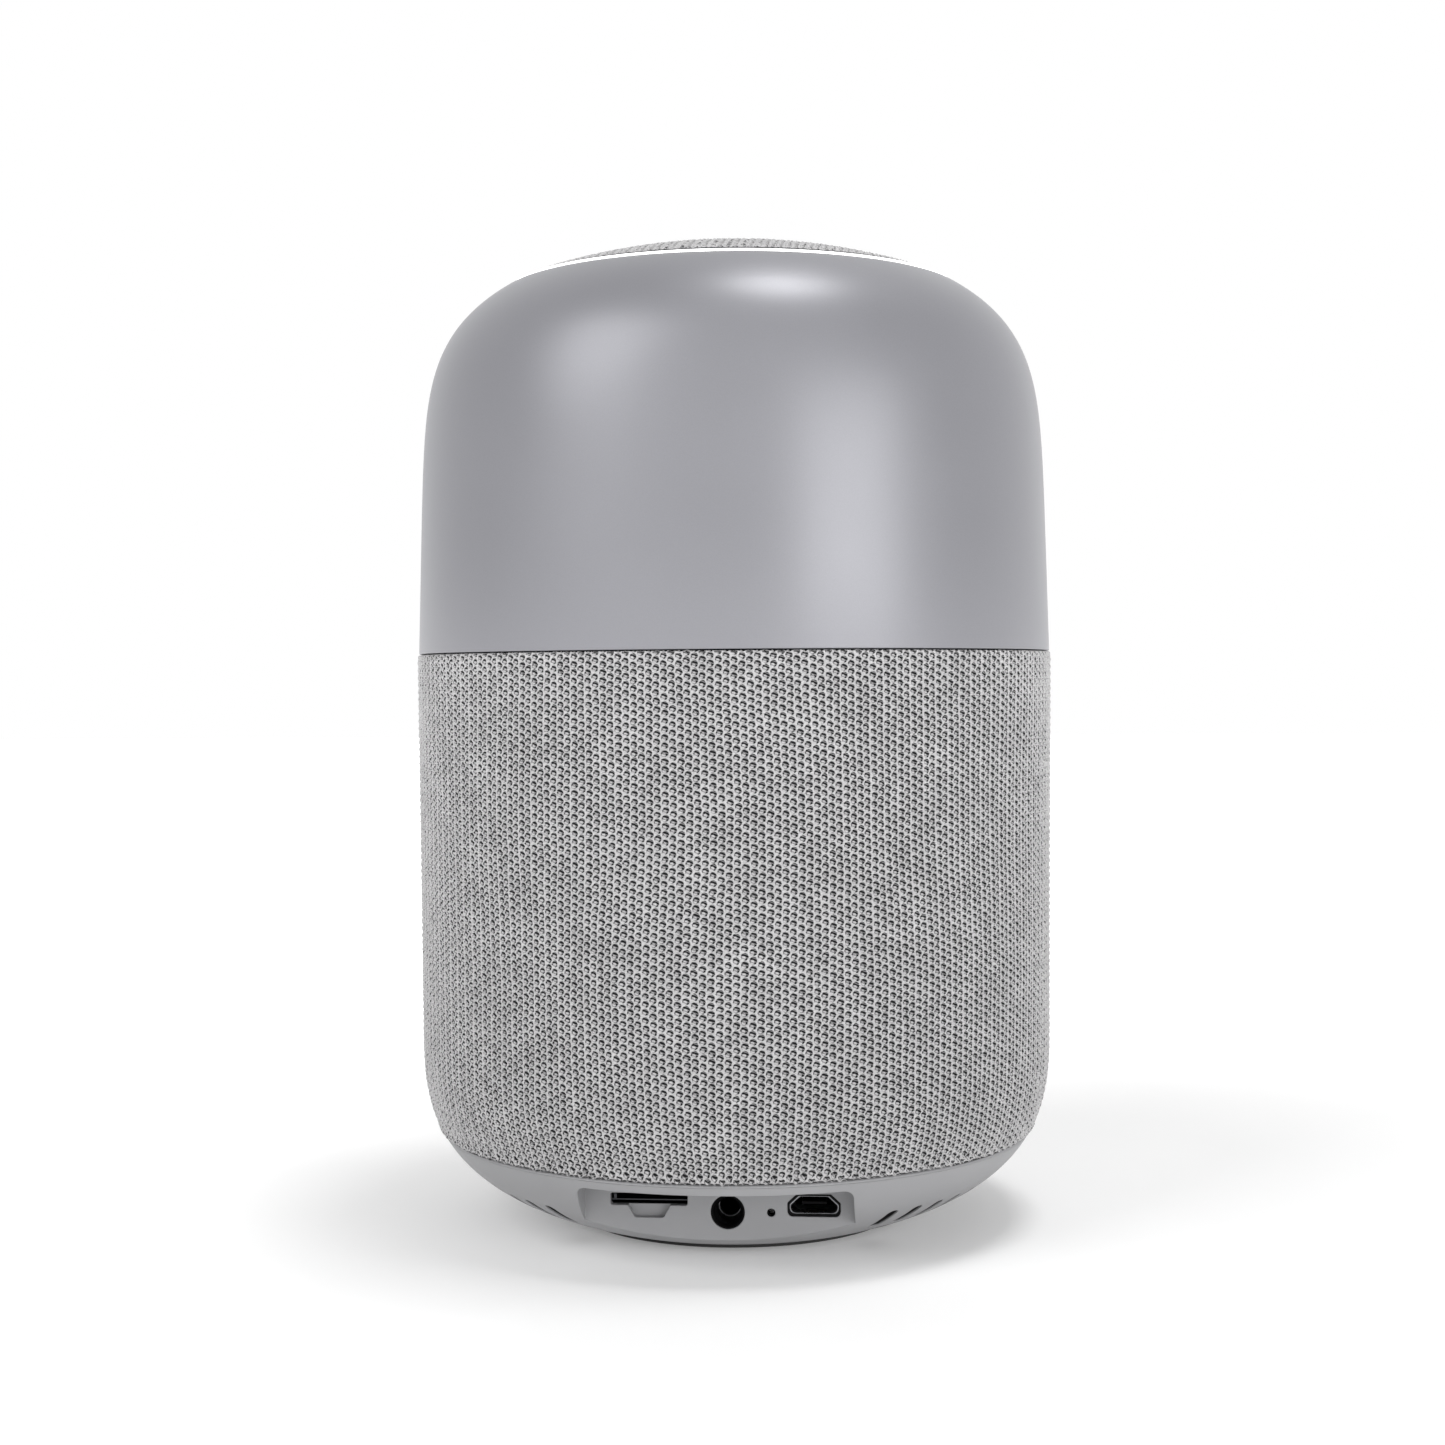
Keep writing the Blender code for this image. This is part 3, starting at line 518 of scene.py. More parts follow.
def painted_inside_shade(made, colour):
    """Paints shade on the inside of the moulded bowl: near black just under its outer face, except at the
    front by the recess panel, so that its slots read as dark. This is painted shade, not a lacquer.

    It follows the bowl's level (r / R)^p + (depth / H)^q, which is 1 on the outer face and less inside.
    """
    tree = made.node_tree
    shader = tree.nodes["Principled BSDF"]
    place = put(tree, "TexCoord").outputs["Object"]
    flat = vectors(tree, "MULTIPLY", place, (1.0, 1.0, 0.0))
    radius = vectors(tree, "LENGTH", flat).outputs["Value"]
    apart = put(tree, "SeparateXYZ", place)
    low_z = (BOWL_TOP_Z - BOWL_HEIGHT) * MM
    drop = put(tree, "MapRange", apart.outputs["Z"], BOWL_TOP_Z * MM, low_z, 0.0, 1.0)
    across = sums(tree, "POWER", sums(tree, "MULTIPLY", radius, 1 / (BOWL_R * MM)), BOWL_POWERS[0])
    down = sums(tree, "POWER", drop, BOWL_POWERS[1])
    level = sums(tree, "ADD", across, down)
    # painted shade: full black a little way inside the outer face
    deep = put(tree, "MapRange", level, *INSIDE_SHADE_LEVELS, 0.0, 1.0)
    near_y, far_y = INSIDE_SHADE_FROM_Y
    behind = put(tree, "MapRange", apart.outputs["Y"], near_y * MM, far_y * MM, 0.0, 1.0)
    both = put(tree, "Mix", named={"Factor": sums(tree, "MULTIPLY", deep, behind)}, data_type="RGBA")
    tree.links.new(shader.inputs["Base Color"].links[0].from_socket, both.inputs["A"])
    both.inputs["B"].default_value = (*colour, 1.0)
    tree.links.new(both.outputs["Result"], shader.inputs["Base Color"])
    return made


def black_nylon_and_painted_shade():
    """Matt black glass-filled nylon, made once: it swallows light. Besides the black socket parts, it makes
    the dark pieces set behind the slots and in the pinhole as painted shade.
    """
    if "black_nylon_and_painted_shade" in bpy.data.materials:
        return bpy.data.materials["black_nylon_and_painted_shade"]
    return moulded_plastic("black_nylon_and_painted_shade", shade("#040405"), 0.6, edge_mm=0, shine=0.12)


def worked_metal(name, colour, roughness=0.3, scratch_mm=0.08):
    """Plated or turned metal: clear reflections broken by fine marks, and dulled a little in patches."""
    made, tree, shader = blank(name, Roughness=roughness, Metallic=1.0)
    place = put(tree, "TexCoord").outputs["Object"]
    cloud = put(tree, "TexNoise", named={"Vector": place, "Scale": 250.0, "Detail": 3.0})
    mottled(tree, shader, cloud, scaled(colour, 0.88), colour, roughness * 0.8, roughness * 1.25)
    marks = put(tree, "TexNoise", named={"Vector": place, "Scale": 1 / (scratch_mm * MM), "Detail": 2.0})
    bumped(tree, shader, marks, 0.04, 0.00003)
    return made


def milky_diffuser(name, glow):
    """Milk-white polycarbonate lit from below: an even white line, brighter over each of the twelve lamps."""
    made, tree, shader = blank(name, Roughness=0.35, IOR=1.58, Base_Color=(*shade("#F4F4F4"), 1.0))
    apart = put(tree, "SeparateXYZ", put(tree, "TexCoord").outputs["Object"])
    angle = sums(tree, "ARCTAN2", apart.outputs["Y"], apart.outputs["X"])
    lamps = sums(tree, "COSINE", sums(tree, "MULTIPLY", angle, 12.0))
    level = put(tree, "MapRange", lamps, -1.0, 1.0, glow * 0.92, glow * 1.08)
    shader.inputs["Emission Color"].default_value = (*shade("#FFFFFF"), 1.0)
    tree.links.new(level.outputs[0], shader.inputs["Emission Strength"])
    return made


def knitted_polyester(name, colour):
    """Textured polyester yarn in a warp knit: pale yarns, dark comma-shaped holes, dull fibrous sheen."""
    made, tree, shader = blank(
        name, Roughness=0.9, Sheen_Weight=0.2, Sheen_Roughness=0.5, Specular_IOR_Level=0.2
    )
    place = put(tree, "Attribute", attribute_name="stitch").outputs["Vector"]
    across, down, spread = put(tree, "SeparateXYZ", place).outputs
    column = sums(tree, "FLOOR", across)
    x = sums(tree, "SUBTRACT", sums(tree, "FRACT", across), 0.5)
    odd = sums(tree, "FRACT", sums(tree, "MULTIPLY", column, 0.5))
    shifted = sums(tree, "ADD", down, odd)
    row = sums(tree, "FLOOR", shifted)
    y = sums(tree, "SUBTRACT", sums(tree, "FRACT", shifted), 0.5)
    each = put(tree, "TexWhiteNoise", put(tree, "CombineXYZ", column, row), noise_dimensions="3D")
    fibre_place = put(tree, "Mapping", place, named={"Rotation": (0.0, 0.0, 0.6), "Scale": (3.2, 9.0, 0.0)})
    fibres = put(tree, "TexNoise", named={"Vector": fibre_place, "Scale": 1.0, "Detail": 3.0})
    frayed = sums(tree, "MULTIPLY", sums(tree, "SUBTRACT", fibres, 0.5), FRAY)

    from_hole = vectors(tree, "LENGTH", put(tree, "CombineXYZ", x, y)).outputs["Value"]
    edge = sums(tree, "ADD", sums(tree, "SUBTRACT", from_hole, spread), frayed)
    hole = put(tree, "MapRange", edge, *HOLE_EDGE, 0.0, 1.0, interpolation_type="SMOOTHSTEP")
    left = sums(tree, "ADD", x, LOOP_LEFT)
    lower = sums(tree, "ADD", y, LOOP_DOWN)
    from_loop = vectors(tree, "LENGTH", put(tree, "CombineXYZ", left, lower)).outputs["Value"]
    frayed_loop = sums(tree, "ADD", from_loop, frayed)
    loop = put(tree, "MapRange", frayed_loop, *LOOP_EDGE, 0.0, 1.0, interpolation_type="SMOOTHSTEP")
    bare = sums(tree, "MULTIPLY", hole, sums(tree, "SUBTRACT", 1.0, loop))

    slant = sums(tree, "ADD", sums(tree, "MULTIPLY", y, 17.0), sums(tree, "MULTIPLY", x, 6.0))
    turn = sums(tree, "ADD", slant, sums(tree, "MULTIPLY", each.outputs["Value"], 3.0))
    wave = sums(tree, "SINE", turn)
    strands = put(tree, "MapRange", wave, -1.0, 0.4, 0.42, 1.0)
    across_hole = put(tree, "MapRange", wave, 0.35, 0.9, 1.0, 0.58)  # loose filaments that cross a hole
    dark = sums(tree, "MULTIPLY", bare, across_hole)
    in_loop = sums(tree, "MULTIPLY", hole, loop)
    filaments = put(tree, "Mix", named={"Factor": in_loop, "A": 1.0, "B": strands})
    cloud = put(tree, "TexNoise", named={"Vector": place, "Scale": 0.12, "Detail": 2.0})
    by_stitch = put(tree, "MapRange", each.outputs["Value"], 0.0, 1.0, 0.93, 1.05)
    by_cloud = put(tree, "MapRange", cloud, 0.3, 0.7, 0.95, 1.05)
    level = sums(tree, "MULTIPLY", by_stitch, by_cloud)
    level = sums(tree, "MULTIPLY", level, put(tree, "MapRange", fibres, 0.3, 0.7, 0.76, 1.22))
    level = sums(tree, "MULTIPLY", level, filaments)
    yarn = put(tree, "VectorMath", colour, named={"Scale": level.outputs[0]}, operation="SCALE")
    both = put(tree, "Mix", named={"Factor": dark}, data_type="RGBA")
    tree.links.new(yarn.outputs[0], both.inputs["A"])
    both.inputs["B"].default_value = (*shade("#18181A"), 1.0)
    tree.links.new(both.outputs["Result"], shader.inputs["Base Color"])
    lift = sums(tree, "SUBTRACT", sums(tree, "ADD", fibres, filaments), dark)
    bumped(tree, shader, lift, 0.4, 0.00008)
    return made


INNER_FINISHES = {  # what the frame's own nodes are made of: metal or not, colour, roughness
    "black_plastic": (False, "#141415", 0.5),
    "diffuser_plastic": (False, "#EDEDED", 0.4),
    "rubber": (False, "#202021", 0.75),
    "circuit_board": (False, "#12331F", 0.45),
    "steel": (True, "#C2C3C5", 0.3),
    "ferrite": (False, "#2A2A2D", 0.6),
    "paper_cone": (False, "#262628", 0.85),
    "copper_coil": (True, "#C77A4A", 0.35),
    "battery_wrap": (False, "#24508F", 0.35),
    "aluminium": (True, "#D2D3D6", 0.3),
    "base_plastic": (False, "#97989C", 0.5),
    "dome_paint": (False, "#9B9CA1", 0.4),
    "knit": (False, "#C4C5C9", 0.9),
}


def finish_for(slot):
    """The finish of a material slot, made once."""
    if slot in bpy.data.materials:
        return bpy.data.materials[slot]
    metal, colour, roughness = INNER_FINISHES[slot]
    make = worked_metal if metal else moulded_plastic
    return make(slot, shade(colour), roughness)


def placed(obj, material, body, slot, *nodes):
    """Gives a new piece its material and body, and hides the frame nodes that it stands for. The record slot
    is not used.
    """
    obj.data.materials.clear()
    obj.data.materials.append(material)
    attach(obj, body)
    if nodes:
        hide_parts(*nodes)
    return obj


# Operators


class SPEAKER_OT_stage(bpy.types.Operator):
    """Lays the pale floor and sets the lights and the camera."""

    bl_idname = "speaker.stage"
    bl_label = "Stage"

    def execute(self, context):
        scene = context.scene
        half = 3000
        corners = [(-half, -half), (half, -half), (half, half), (-half, half)]
        floor = prism("floor", corners, -20.0, -0.02, upright=True)
        made, tree, shader = blank("pale_card_with_painted_shadow", Roughness=0.9, Specular_IOR_Level=0.1)
        place = put(tree, "TexCoord").outputs["Object"]
        speckle = put(tree, "TexNoise", named={"Vector": place, "Scale": 30.0})
        tone = ramp(tree, speckle, [(0.3, (CARD_ALBEDO,) * 3), (0.7, (CARD_ALBEDO + 0.02,) * 3)])
        tree.links.new(tone.outputs[0], shader.inputs["Base Color"])
        # Painted shadow: the glow is dimmest near the speaker's base, centred a little right of the axis, and
        # rises to white far off.
        from_shadow_middle = vectors(tree, "ADD", place, (-0.025, 0.0, 0.0))
        reach = vectors(tree, "LENGTH", from_shadow_middle).outputs["Value"]
        levels = (*PAINTED_SHADOW_REACH, CARD_GLOW_IN_SHADOW, CARD_FAR_GLOW)
        glow = put(tree, "MapRange", reach, *levels, interpolation_type="SMOOTHSTEP")
        shader.inputs["Emission Color"].default_value = (1.0, 1.0, 1.0, 1.0)
        tree.links.new(glow.outputs[0], shader.inputs["Emission Strength"])
        floor.data.materials.append(made)

        scene.view_settings.view_transform = "Standard"
        world = bpy.data.worlds.new("studio")
        world.use_nodes = True
        scene.world = world
        tree = world.node_tree
        tree.nodes.clear()
        direction = put(tree, "SeparateXYZ", put(tree, "TexCoord").outputs["Generated"])
        depth = put(tree, "MapRange", direction.outputs["Y"], -1.0, 1.0, 0.0, 1.0)
        room = ramp(tree, depth, WORLD_STOPS)
        seen = put(tree, "LightPath").outputs["Is Camera Ray"]
        colour = put(tree, "Mix", named={"Factor": seen}, data_type="RGBA")
        tree.links.new(room.outputs[0], colour.inputs["A"])
        colour.inputs["B"].default_value = (1.0, 1.0, 1.0, 1.0)
        strength = put(tree, "Mix", named={"Factor": seen})
        strength.inputs["A"].default_value, strength.inputs["B"].default_value = ROOM_LEVEL, 1.0
        background = put(tree, "Background", colour.outputs["Result"], strength.outputs["Result"])
        put(tree, "OutputWorld", background)

        for name, azimuth, elevation, distance, width, height, radiance in LAMPS:
            data = bpy.data.lights.new(name, "AREA")
            data.shape = "RECTANGLE"
            data.size, data.size_y, data.energy = width, height, radiance * math.pi * width * height
            lamp = bpy.data.objects.new(name, data)
            turn, lift = math.radians(azimuth), math.radians(elevation)
            level = math.cos(lift)
            away = Vector((math.sin(turn) * level, -math.cos(turn) * level, math.sin(lift)))
            aim = Vector((0.0, 0.0, 0.1))
            lamp.location = aim + away * distance
            lamp.rotation_mode = "QUATERNION"
            lamp.rotation_quaternion = away.to_track_quat("Z", "Y")
            scene.collection.objects.link(lamp)

        data = bpy.data.cameras.new("camera")
        data.sensor_width = 36.0
        data.lens = CAMERA_LENS
        data.clip_start = 0.01
        camera = bpy.data.objects.new("camera", data)
        turn = math.radians(CAMERA_AZIMUTH)
        camera.location = (CAMERA_DISTANCE * math.sin(turn), -CAMERA_DISTANCE * math.cos(turn), CAMERA_Z)
        camera.rotation_mode = "XYZ"
        camera.rotation_euler = (math.radians(90 - CAMERA_DOWN), 0, turn + math.radians(CAMERA_YAW))
        camera.rotation_euler.rotate_axis("Z", math.radians(CAMERA_ROLL))
        scene.collection.objects.link(camera)
        scene.camera = camera
        return {"FINISHED"}


class SPEAKER_OT_dome(bpy.types.Operator):
    """Makes the painted dome: a thin turned shell with rounded edges at the seam and round the light ring."""

    bl_idname = "speaker.dome"
    bl_label = "Dome"

    def execute(self, context):
        form, finish = context.scene.speaker_form, context.scene.speaker_finish
        edge = form.edge_round
        outer = shoulder(DOME_TOP_Z, SEAM_Z, 90)
        inner = outer + WALL * inward(outer)
        inner = inner[(inner[:, 0] > RING_OUT_R + 1.2) & (inner[:, 1] > SEAM_Z + 0.2)][::-1]
        top, low = outer[0], outer[-1]
        side = [p for p in outer if p[1] < top[1] - edge * 1.5 and p[1] > low[1] + edge]
        corners = [tuple(top), *side, tuple(low), (inner[0][0], SEAM_Z), *inner, (top[0], inner[-1][1])]
        radii = [edge * 1.1] + [0] * len(side) + [edge * 0.4, 0.2] + [0] * len(inner) + [0.2]
        shell = turned("dome_shell", filleted(corners, radii), sharp_deg=40)
        paint = satin_paint("satin_silver_paint", tuple(finish.paint))
        placed(shell, paint, "root", "dome_paint", "upper_shell")
        return {"FINISHED"}


class SPEAKER_OT_light_ring(bpy.types.Operator):
    """Makes the light ring: a milky bead flush with the dome, on a skirt that carries the light up."""

    bl_idname = "speaker.light_ring"
    bl_label = "Light ring"

    def execute(self, context):
        top = DOME_TOP_Z
        flange_top, flange_low = RING_FLANGE_Z
        corners = [
            (RING_OUT_R, top + RING_PROUD),
            (RING_OUT_R, flange_top),
            (RING_FLANGE_R, flange_top),
            (RING_FLANGE_R, flange_low),
            (RING_OUT_R, flange_low),
            (RING_OUT_R, RING_LOW_Z),
            (RING_IN_R, RING_LOW_Z),
            (RING_IN_R, top + RING_PROUD),
        ]
        profile = filleted(corners, [0.3, 0, 0.1, 0.1, 0, 0.1, 0.1, 0.3])
        ring = turned("light_ring_lens", profile, sharp_deg=40)
        glow = milky_diffuser("lit_milky_diffuser", context.scene.speaker_finish.glow)
        placed(ring, glow, "root", "diffuser_plastic", "light_ring")
        # A thin black band round the ring, standing in for the shade in the gap under the dome's edge:
        # painted shade.
        band_out, band_in = RING_OUT_R + GAP_BAND_OUT, RING_OUT_R + GAP_BAND_IN
        band_top, band_low = (top + rise for rise in GAP_BAND_Z)
        band_outline = [(band_out, band_top), (band_out, band_low), (band_in, band_low), (band_in, band_top)]
        gap_band = turned("ring_gap_shade_band", filleted(band_outline, [0.06, 0, 0, 0.06]), sharp_deg=40)
        placed(gap_band, finish_for("rubber"), "root", "rubber")
        return {"FINISHED"}


def hem(u, v, from_end):
    """How far the sleeve's lower edge hangs and stands out: a bump at each column, fading upwards.

    Each is near * bump * size, where near is a Gaussian of the distance from the hem's line.
    """
    near = np.exp(-(((from_end - HEM_AT) / HEM_REACH) ** 2))
    bump = 0.5 - 0.5 * np.cos(2 * np.pi * u)
    size = 0.65 + 0.35 * smooth_noise(u, v * 0, COLUMNS, 15)
    return HEM_DROP * near * bump * size, HEM_STAND * near * (0.5 + 0.5 * bump * size)


def sleeve_outline():
    """The knit's ground outline: the rolled top edge, the wall, the bowl, and the tucked lower edge."""
    roll = 0.6
    crest = SEAM_Z - KNIT_CLEAR
    angle = np.radians(np.linspace(150, 0, 9))
    top = np.column_stack((KNIT_TOP_R - roll + roll * np.cos(angle), crest - roll + roll * np.sin(angle)))
    wall = np.array([(KNIT_TOP_R, crest - roll - 0.2), (BOWL_R, BOWL_TOP_Z)])
    lower = bowl(BOWL_TOP_Z - 1.5, KNIT_LOW_Z + 0.25, 60)
    end = lower[-1]
    tuck = end - np.array([(0.35, 0.28), (0.9, 0.35), (1.4, 0.3)])
    return np.vstack((top, wall, lower, tuck))


class SPEAKER_OT_sleeve(bpy.types.Operator):
    """Knits the sleeve: a stretched sheet whose holes are pressed in as a height over columns and rows."""

    bl_idname = "speaker.sleeve"
    bl_label = "Knit sleeve"

    def execute(self, context):
        form, finish = context.scene.speaker_form, context.scene.speaker_finish
        knit = knitted_polyester("knitted_polyester", tuple(finish.yarn))
        outline, along = evenly(sleeve_outline(), PITCH / PER_ROW)
        out = -inward(outline)
        columns = COLUMNS // SECTORS
        for sector in range(SECTORS):
            u = (sector + np.linspace(0, 1, columns * PER_COLUMN + 1)) * columns
            u, v = np.meshgrid(u, -along / PITCH)
            angle = 2 * np.pi * u / COLUMNS
            stitches = loop_coordinates(u, v, COLUMNS)
            height = knit_height(*stitches, form.knit_relief)
            hang, stand = hem(stitches[0], v, (along[-1] - along)[:, None])
            height = height + stand
            r = outline[:, 0][:, None] + out[:, 0][:, None] * height
            z = outline[:, 1][:, None] + out[:, 1][:, None] * height - hang
            points = np.stack((r * np.cos(angle), r * np.sin(angle), z), axis=-1).reshape(-1, 3)
            obj = mesh_from(f"knit_sleeve_{sector + 1}", points, grid_quads(*u.shape))
            stitched(obj, *stitches)
            placed(obj, knit, "root", "knit", *(["fabric_sleeve"] if sector == 0 else []))
        return {"FINISHED"}


class SPEAKER_OT_crown(bpy.types.Operator):
    """Knits the crown: a disc of the same cloth stretched over the dial's shallow dome, rolled at its edge.

    The ground is a sphere's cap, z = top - R + sqrt(R^2 - r^2), and its grid is a square mapped to a disc.
    """

    bl_idname = "speaker.crown"
    bl_label = "Knit crown"

    def execute(self, context):
        form = context.scene.speaker_form
        count = 290
        side = np.linspace(-1, 1, count)
        a, b = np.meshgrid(side, side)
        x = CROWN_R * a * np.sqrt(1 - b**2 / 2)
        y = CROWN_R * b * np.sqrt(1 - a**2 / 2)
        r = np.hypot(x, y)
        roll = 0.9
        fall = roll - np.sqrt(np.clip(roll**2 - (r - CROWN_R + roll) ** 2, 0, None))
        drop = np.where(r > CROWN_R - roll, fall, 0.0)
        ground = CROWN_TOP_Z - KNIT_CLEAR - CROWN_SPHERE_R + np.sqrt(CROWN_SPHERE_R**2 - r**2) - drop
        stitches = loop_coordinates(x / PITCH + COLUMNS, y / PITCH, COLUMNS)
        tilt = r / CROWN_SPHERE_R
        height = knit_height(*stitches, CROWN_DEEPER * form.knit_relief)
        height = height * step_between(CROWN_R, CROWN_R - 1.0, r)
        wider = 1 + tilt * height / CROWN_SPHERE_R
        points = np.stack((x * wider, y * wider, ground + height), axis=-1).reshape(-1, 3)
        obj = mesh_from("knit_crown", points, grid_quads(count, count)[:, ::-1])
        stitched(obj, *stitches)
        placed(obj, bpy.data.materials["knitted_polyester"], "dial", "knit", "dial_cloth")
        # A black band at the crown's edge, standing in for the shade in the gap above the light ring: painted
        # shade.
        edge_band_out, edge_band_in = CROWN_R + CROWN_BAND_OUT, CROWN_R - CROWN_BAND_IN
        edge_band_top, edge_band_low = CROWN_BAND_Z
        edge_band = [(edge_band_out, edge_band_top), (edge_band_out, edge_band_low), (edge_band_in, edge_band_low), (edge_band_in, edge_band_top)]
        trim = turned("crown_gap_shade_band", filleted(edge_band, [0.1, 0, 0, 0.1]), sharp_deg=40)
        placed(trim, finish_for("black_plastic"), "dial", "black_plastic")
        return {"FINISHED"}


def bass_slots():
    """Upright slots with round ends, turned about the axis from the recess round to the back."""
    cutters = []
    half = SLOT_WIDTH / 2
    slot = rounded_box(SLOT_IN_R, SLOT_OUT_R, -half, half, half * 0.98, 4)
    for place in range(-SLOTS_EACH_SIDE, SLOTS_EACH_SIDE + 1):
        turn = math.pi / 2 + place * math.radians(SLOT_PITCH_DEG)
        rotation = np.array(((math.cos(turn), math.sin(turn)), (-math.sin(turn), math.cos(turn))))
        cutters.append(prism(f"slot_{place}", slot @ rotation, SLOT_FLOOR_Z, SLOT_TOP_Z, upright=True))
    return joined("slots", cutters)


def usb_outline(grow=0.0):
    """The micro-USB shape: wide and round below, with its upper corners cut away, centred on the socket."""
    half, low, high = USB_HOLE[0] / 2 + grow, -USB_HOLE[1] / 2 - grow, USB_HOLE[1] / 2 + grow
    cut_x, cut_z = USB_CORNER
    corners = [
        (-half + cut_x, high),
        (half - cut_x, high),
        (half, high - cut_z),
        (half, low),
        (-half, low),
        (-half, high - cut_z),
    ]
    points = filleted(corners, [0.35, 0.35, 0.4, 0.8, 0.8, 0.4], 4)
    return points + np.array((USB_X, USB_Z))


class SPEAKER_OT_base(bpy.types.Operator):
    """Moulds the bowl: a turned shell with the socket recess, bass slots, holes and finger notch."""

    bl_idname = "speaker.base"
    bl_label = "Bowl"

    def execute(self, context):
        edge = context.scene.speaker_form.edge_round
        outer = bowl(KNIT_LOW_Z - 0.3, UNDERSIDE_Z, 44)
        inner = outer + BOWL_WALL * inward(outer)
        inner = inner[(inner[:, 0] < BOWL_INSIDE_R) & (inner[:, 1] > UNDERSIDE_Z + WALL + 0.05)][::-1]
        foot_in, foot_out = FOOT_R[0] - FOOT_GAP, FOOT_R[1] + FOOT_GAP
        lip_in, lip_out = LIP_R
        floor_z = UNDERSIDE_Z + WALL
        corners = [
            *[(0.0, floor_z), (inner[0][0] - 1.0, floor_z), *inner],
            *[(lip_in, LIP_TOP_Z), (lip_out, LIP_TOP_Z), (lip_out, outer[0][1]), *outer],
            *[(foot_out, UNDERSIDE_Z), (foot_out, FOOT_GROOVE_Z), (foot_in, FOOT_GROOVE_Z)],
            *[(foot_in, UNDERSIDE_Z), (0.0, UNDERSIDE_Z)],
        ]
        inner_radii, outer_radii = [0] * len(inner), [edge] + [0] * (len(outer) - 1)
        radii = [0, 0, *inner_radii, 0.3, 0.3, 0, *outer_radii, 0.2, 0, 0, 0.2, 0]
        shell = turned("bowl_shell", filleted(corners, radii), 288, closed=False)
        wall_y = PANEL_Y + WALL
        pocket_half = RECESS_HALF + WALL
        pocket_outline = rounded_box(-pocket_half, pocket_half, 1.6, 14.7, 0.4)
        pocket = prism("pocket", pocket_outline, PANEL_Y - 9.0, wall_y)
        trim_side = bowl(BOWL_TOP_Z, UNDERSIDE_Z, 40)
        trim_side = trim_side + 0.7 * inward(trim_side)
        trim_low = UNDERSIDE_Z + 0.7
        trim_side = trim_side[trim_side[:, 1] > trim_low]
        trim_profile = [(0.0, BOWL_TOP_Z), *trim_side, (trim_side[-1][0], trim_low), (0.0, trim_low)]
        combined(pocket, "INTERSECT", [turned("trim", trim_profile, 96, closed=False)])
        combined(shell, "UNION", [pocket])

        deep = PANEL_Y + 6
        recess = rounded_box(-RECESS_HALF, RECESS_HALF, -RECESS_TOP_Z, RECESS_TOP_Z, RECESS_ROUND, 8)
        half_x, half_z = CARD_SLOT[0] / 2, CARD_SLOT[1] / 2
        slot = rounded_box(CARD_X - half_x, CARD_X + half_x, CARD_Z - half_z, CARD_Z + half_z, 0.35)
        notch_corners = [
            (-NOTCH_HALF, -0.4),
            (NOTCH_HALF, -0.4),
            (NOTCH_HALF, -half_z),
            (NOTCH_LOW_HALF, -NOTCH_DROP),
            (-NOTCH_LOW_HALF, -NOTCH_DROP),
            (-NOTCH_HALF, -half_z),
        ]
        notch_corners = [(CARD_X + x, CARD_Z + z) for x, z in notch_corners]
        notch = filleted(notch_corners, [0, 0, 0.2, 0.5, 0.5, 0.2])
        angle = np.linspace(0, 2 * np.pi, 48, endpoint=False)
        circle = np.column_stack((np.cos(angle), np.sin(angle)))
        holes = [
            prism("slot_hole", slot, PANEL_Y - 1, deep),
            prism("notch", notch, PANEL_Y - 1, PANEL_Y + NOTCH_DEPTH),
            prism("jack_hole", circle * JACK_HOLE_R + (JACK_X, JACK_Z), PANEL_Y - 1, deep),
            prism("reset_hole", circle[::2] * RESET_HOLE_R + (RESET_X, RESET_Z), PANEL_Y - 1, deep),
            prism("usb_hole", usb_outline(), PANEL_Y - 1, deep),
            bass_slots(),
        ]
        screws = []
        for number, turn in enumerate(np.radians((45, 135, 225, 315))):
            middle = SCREW_CIRCLE * np.array((math.cos(turn), math.sin(turn)))
            screws.append(prism(f"screw_well_{number}", circle[::2] * 2.5 + middle, -1.0, 7.0, upright=True))
        carved(shell, [prism("recess", recess, PANEL_Y - 30, PANEL_Y), *holes, joined("screw_wells", screws)])
        plastic = moulded_plastic("moulded_grey_abs", tuple(context.scene.speaker_finish.base), 0.48)
        # the bowl's inside gets near-black painted shade
        placed(shell, painted_inside_shade(plastic, shade("#0A0A0B")), "root", "base_plastic", "base_bowl")

        # A black sheet just behind the bass slots, standing in for the shade inside them: painted shade.
        front, behind = bowl(12.8, 2.7, 16), bowl(12.8, 2.7, 16)[::-1]
        strip = [*(front + SHADE_SHEET_BEHIND * inward(front)), *(behind - SHADE_SHEET_THICK * inward(behind))]
        shade_sheet = turned("slot_shade_sheet", strip, 96)
        half = RECESS_HALF + 2.5
        gap = rounded_box(-half, half, -1.0, 16.0, 0.5)
        carved(shade_sheet, [prism("front_gap", gap, PANEL_Y - 12.0, wall_y + 0.3)])
        placed(shade_sheet, black_nylon_and_painted_shade(), "root", "black_plastic")

        high, low = FOOT_R[1], FOOT_R[0]
        corners = [(high, FOOT_TOP_Z), (high, 0.0), (low, 0.0), (low, FOOT_TOP_Z)]
        foot = turned("foot", filleted(corners, [0.2, 0.45, 0.45, 0.2]), 192, sharp_deg=40)
        placed(foot, finish_for("rubber"), "root", "rubber", "foot_ring")
        return {"FINISHED"}


def sleeve_of(name, rings):
    """A closed wall through equal outlines, each at its own depth along Y, in order round its section."""
    points = np.vstack([np.insert(ring, 1, y, axis=1) for ring, y in rings])
    return tidied(mesh_from(name, points, grid_quads(len(rings), len(rings[0][0]), True, True)), 35)


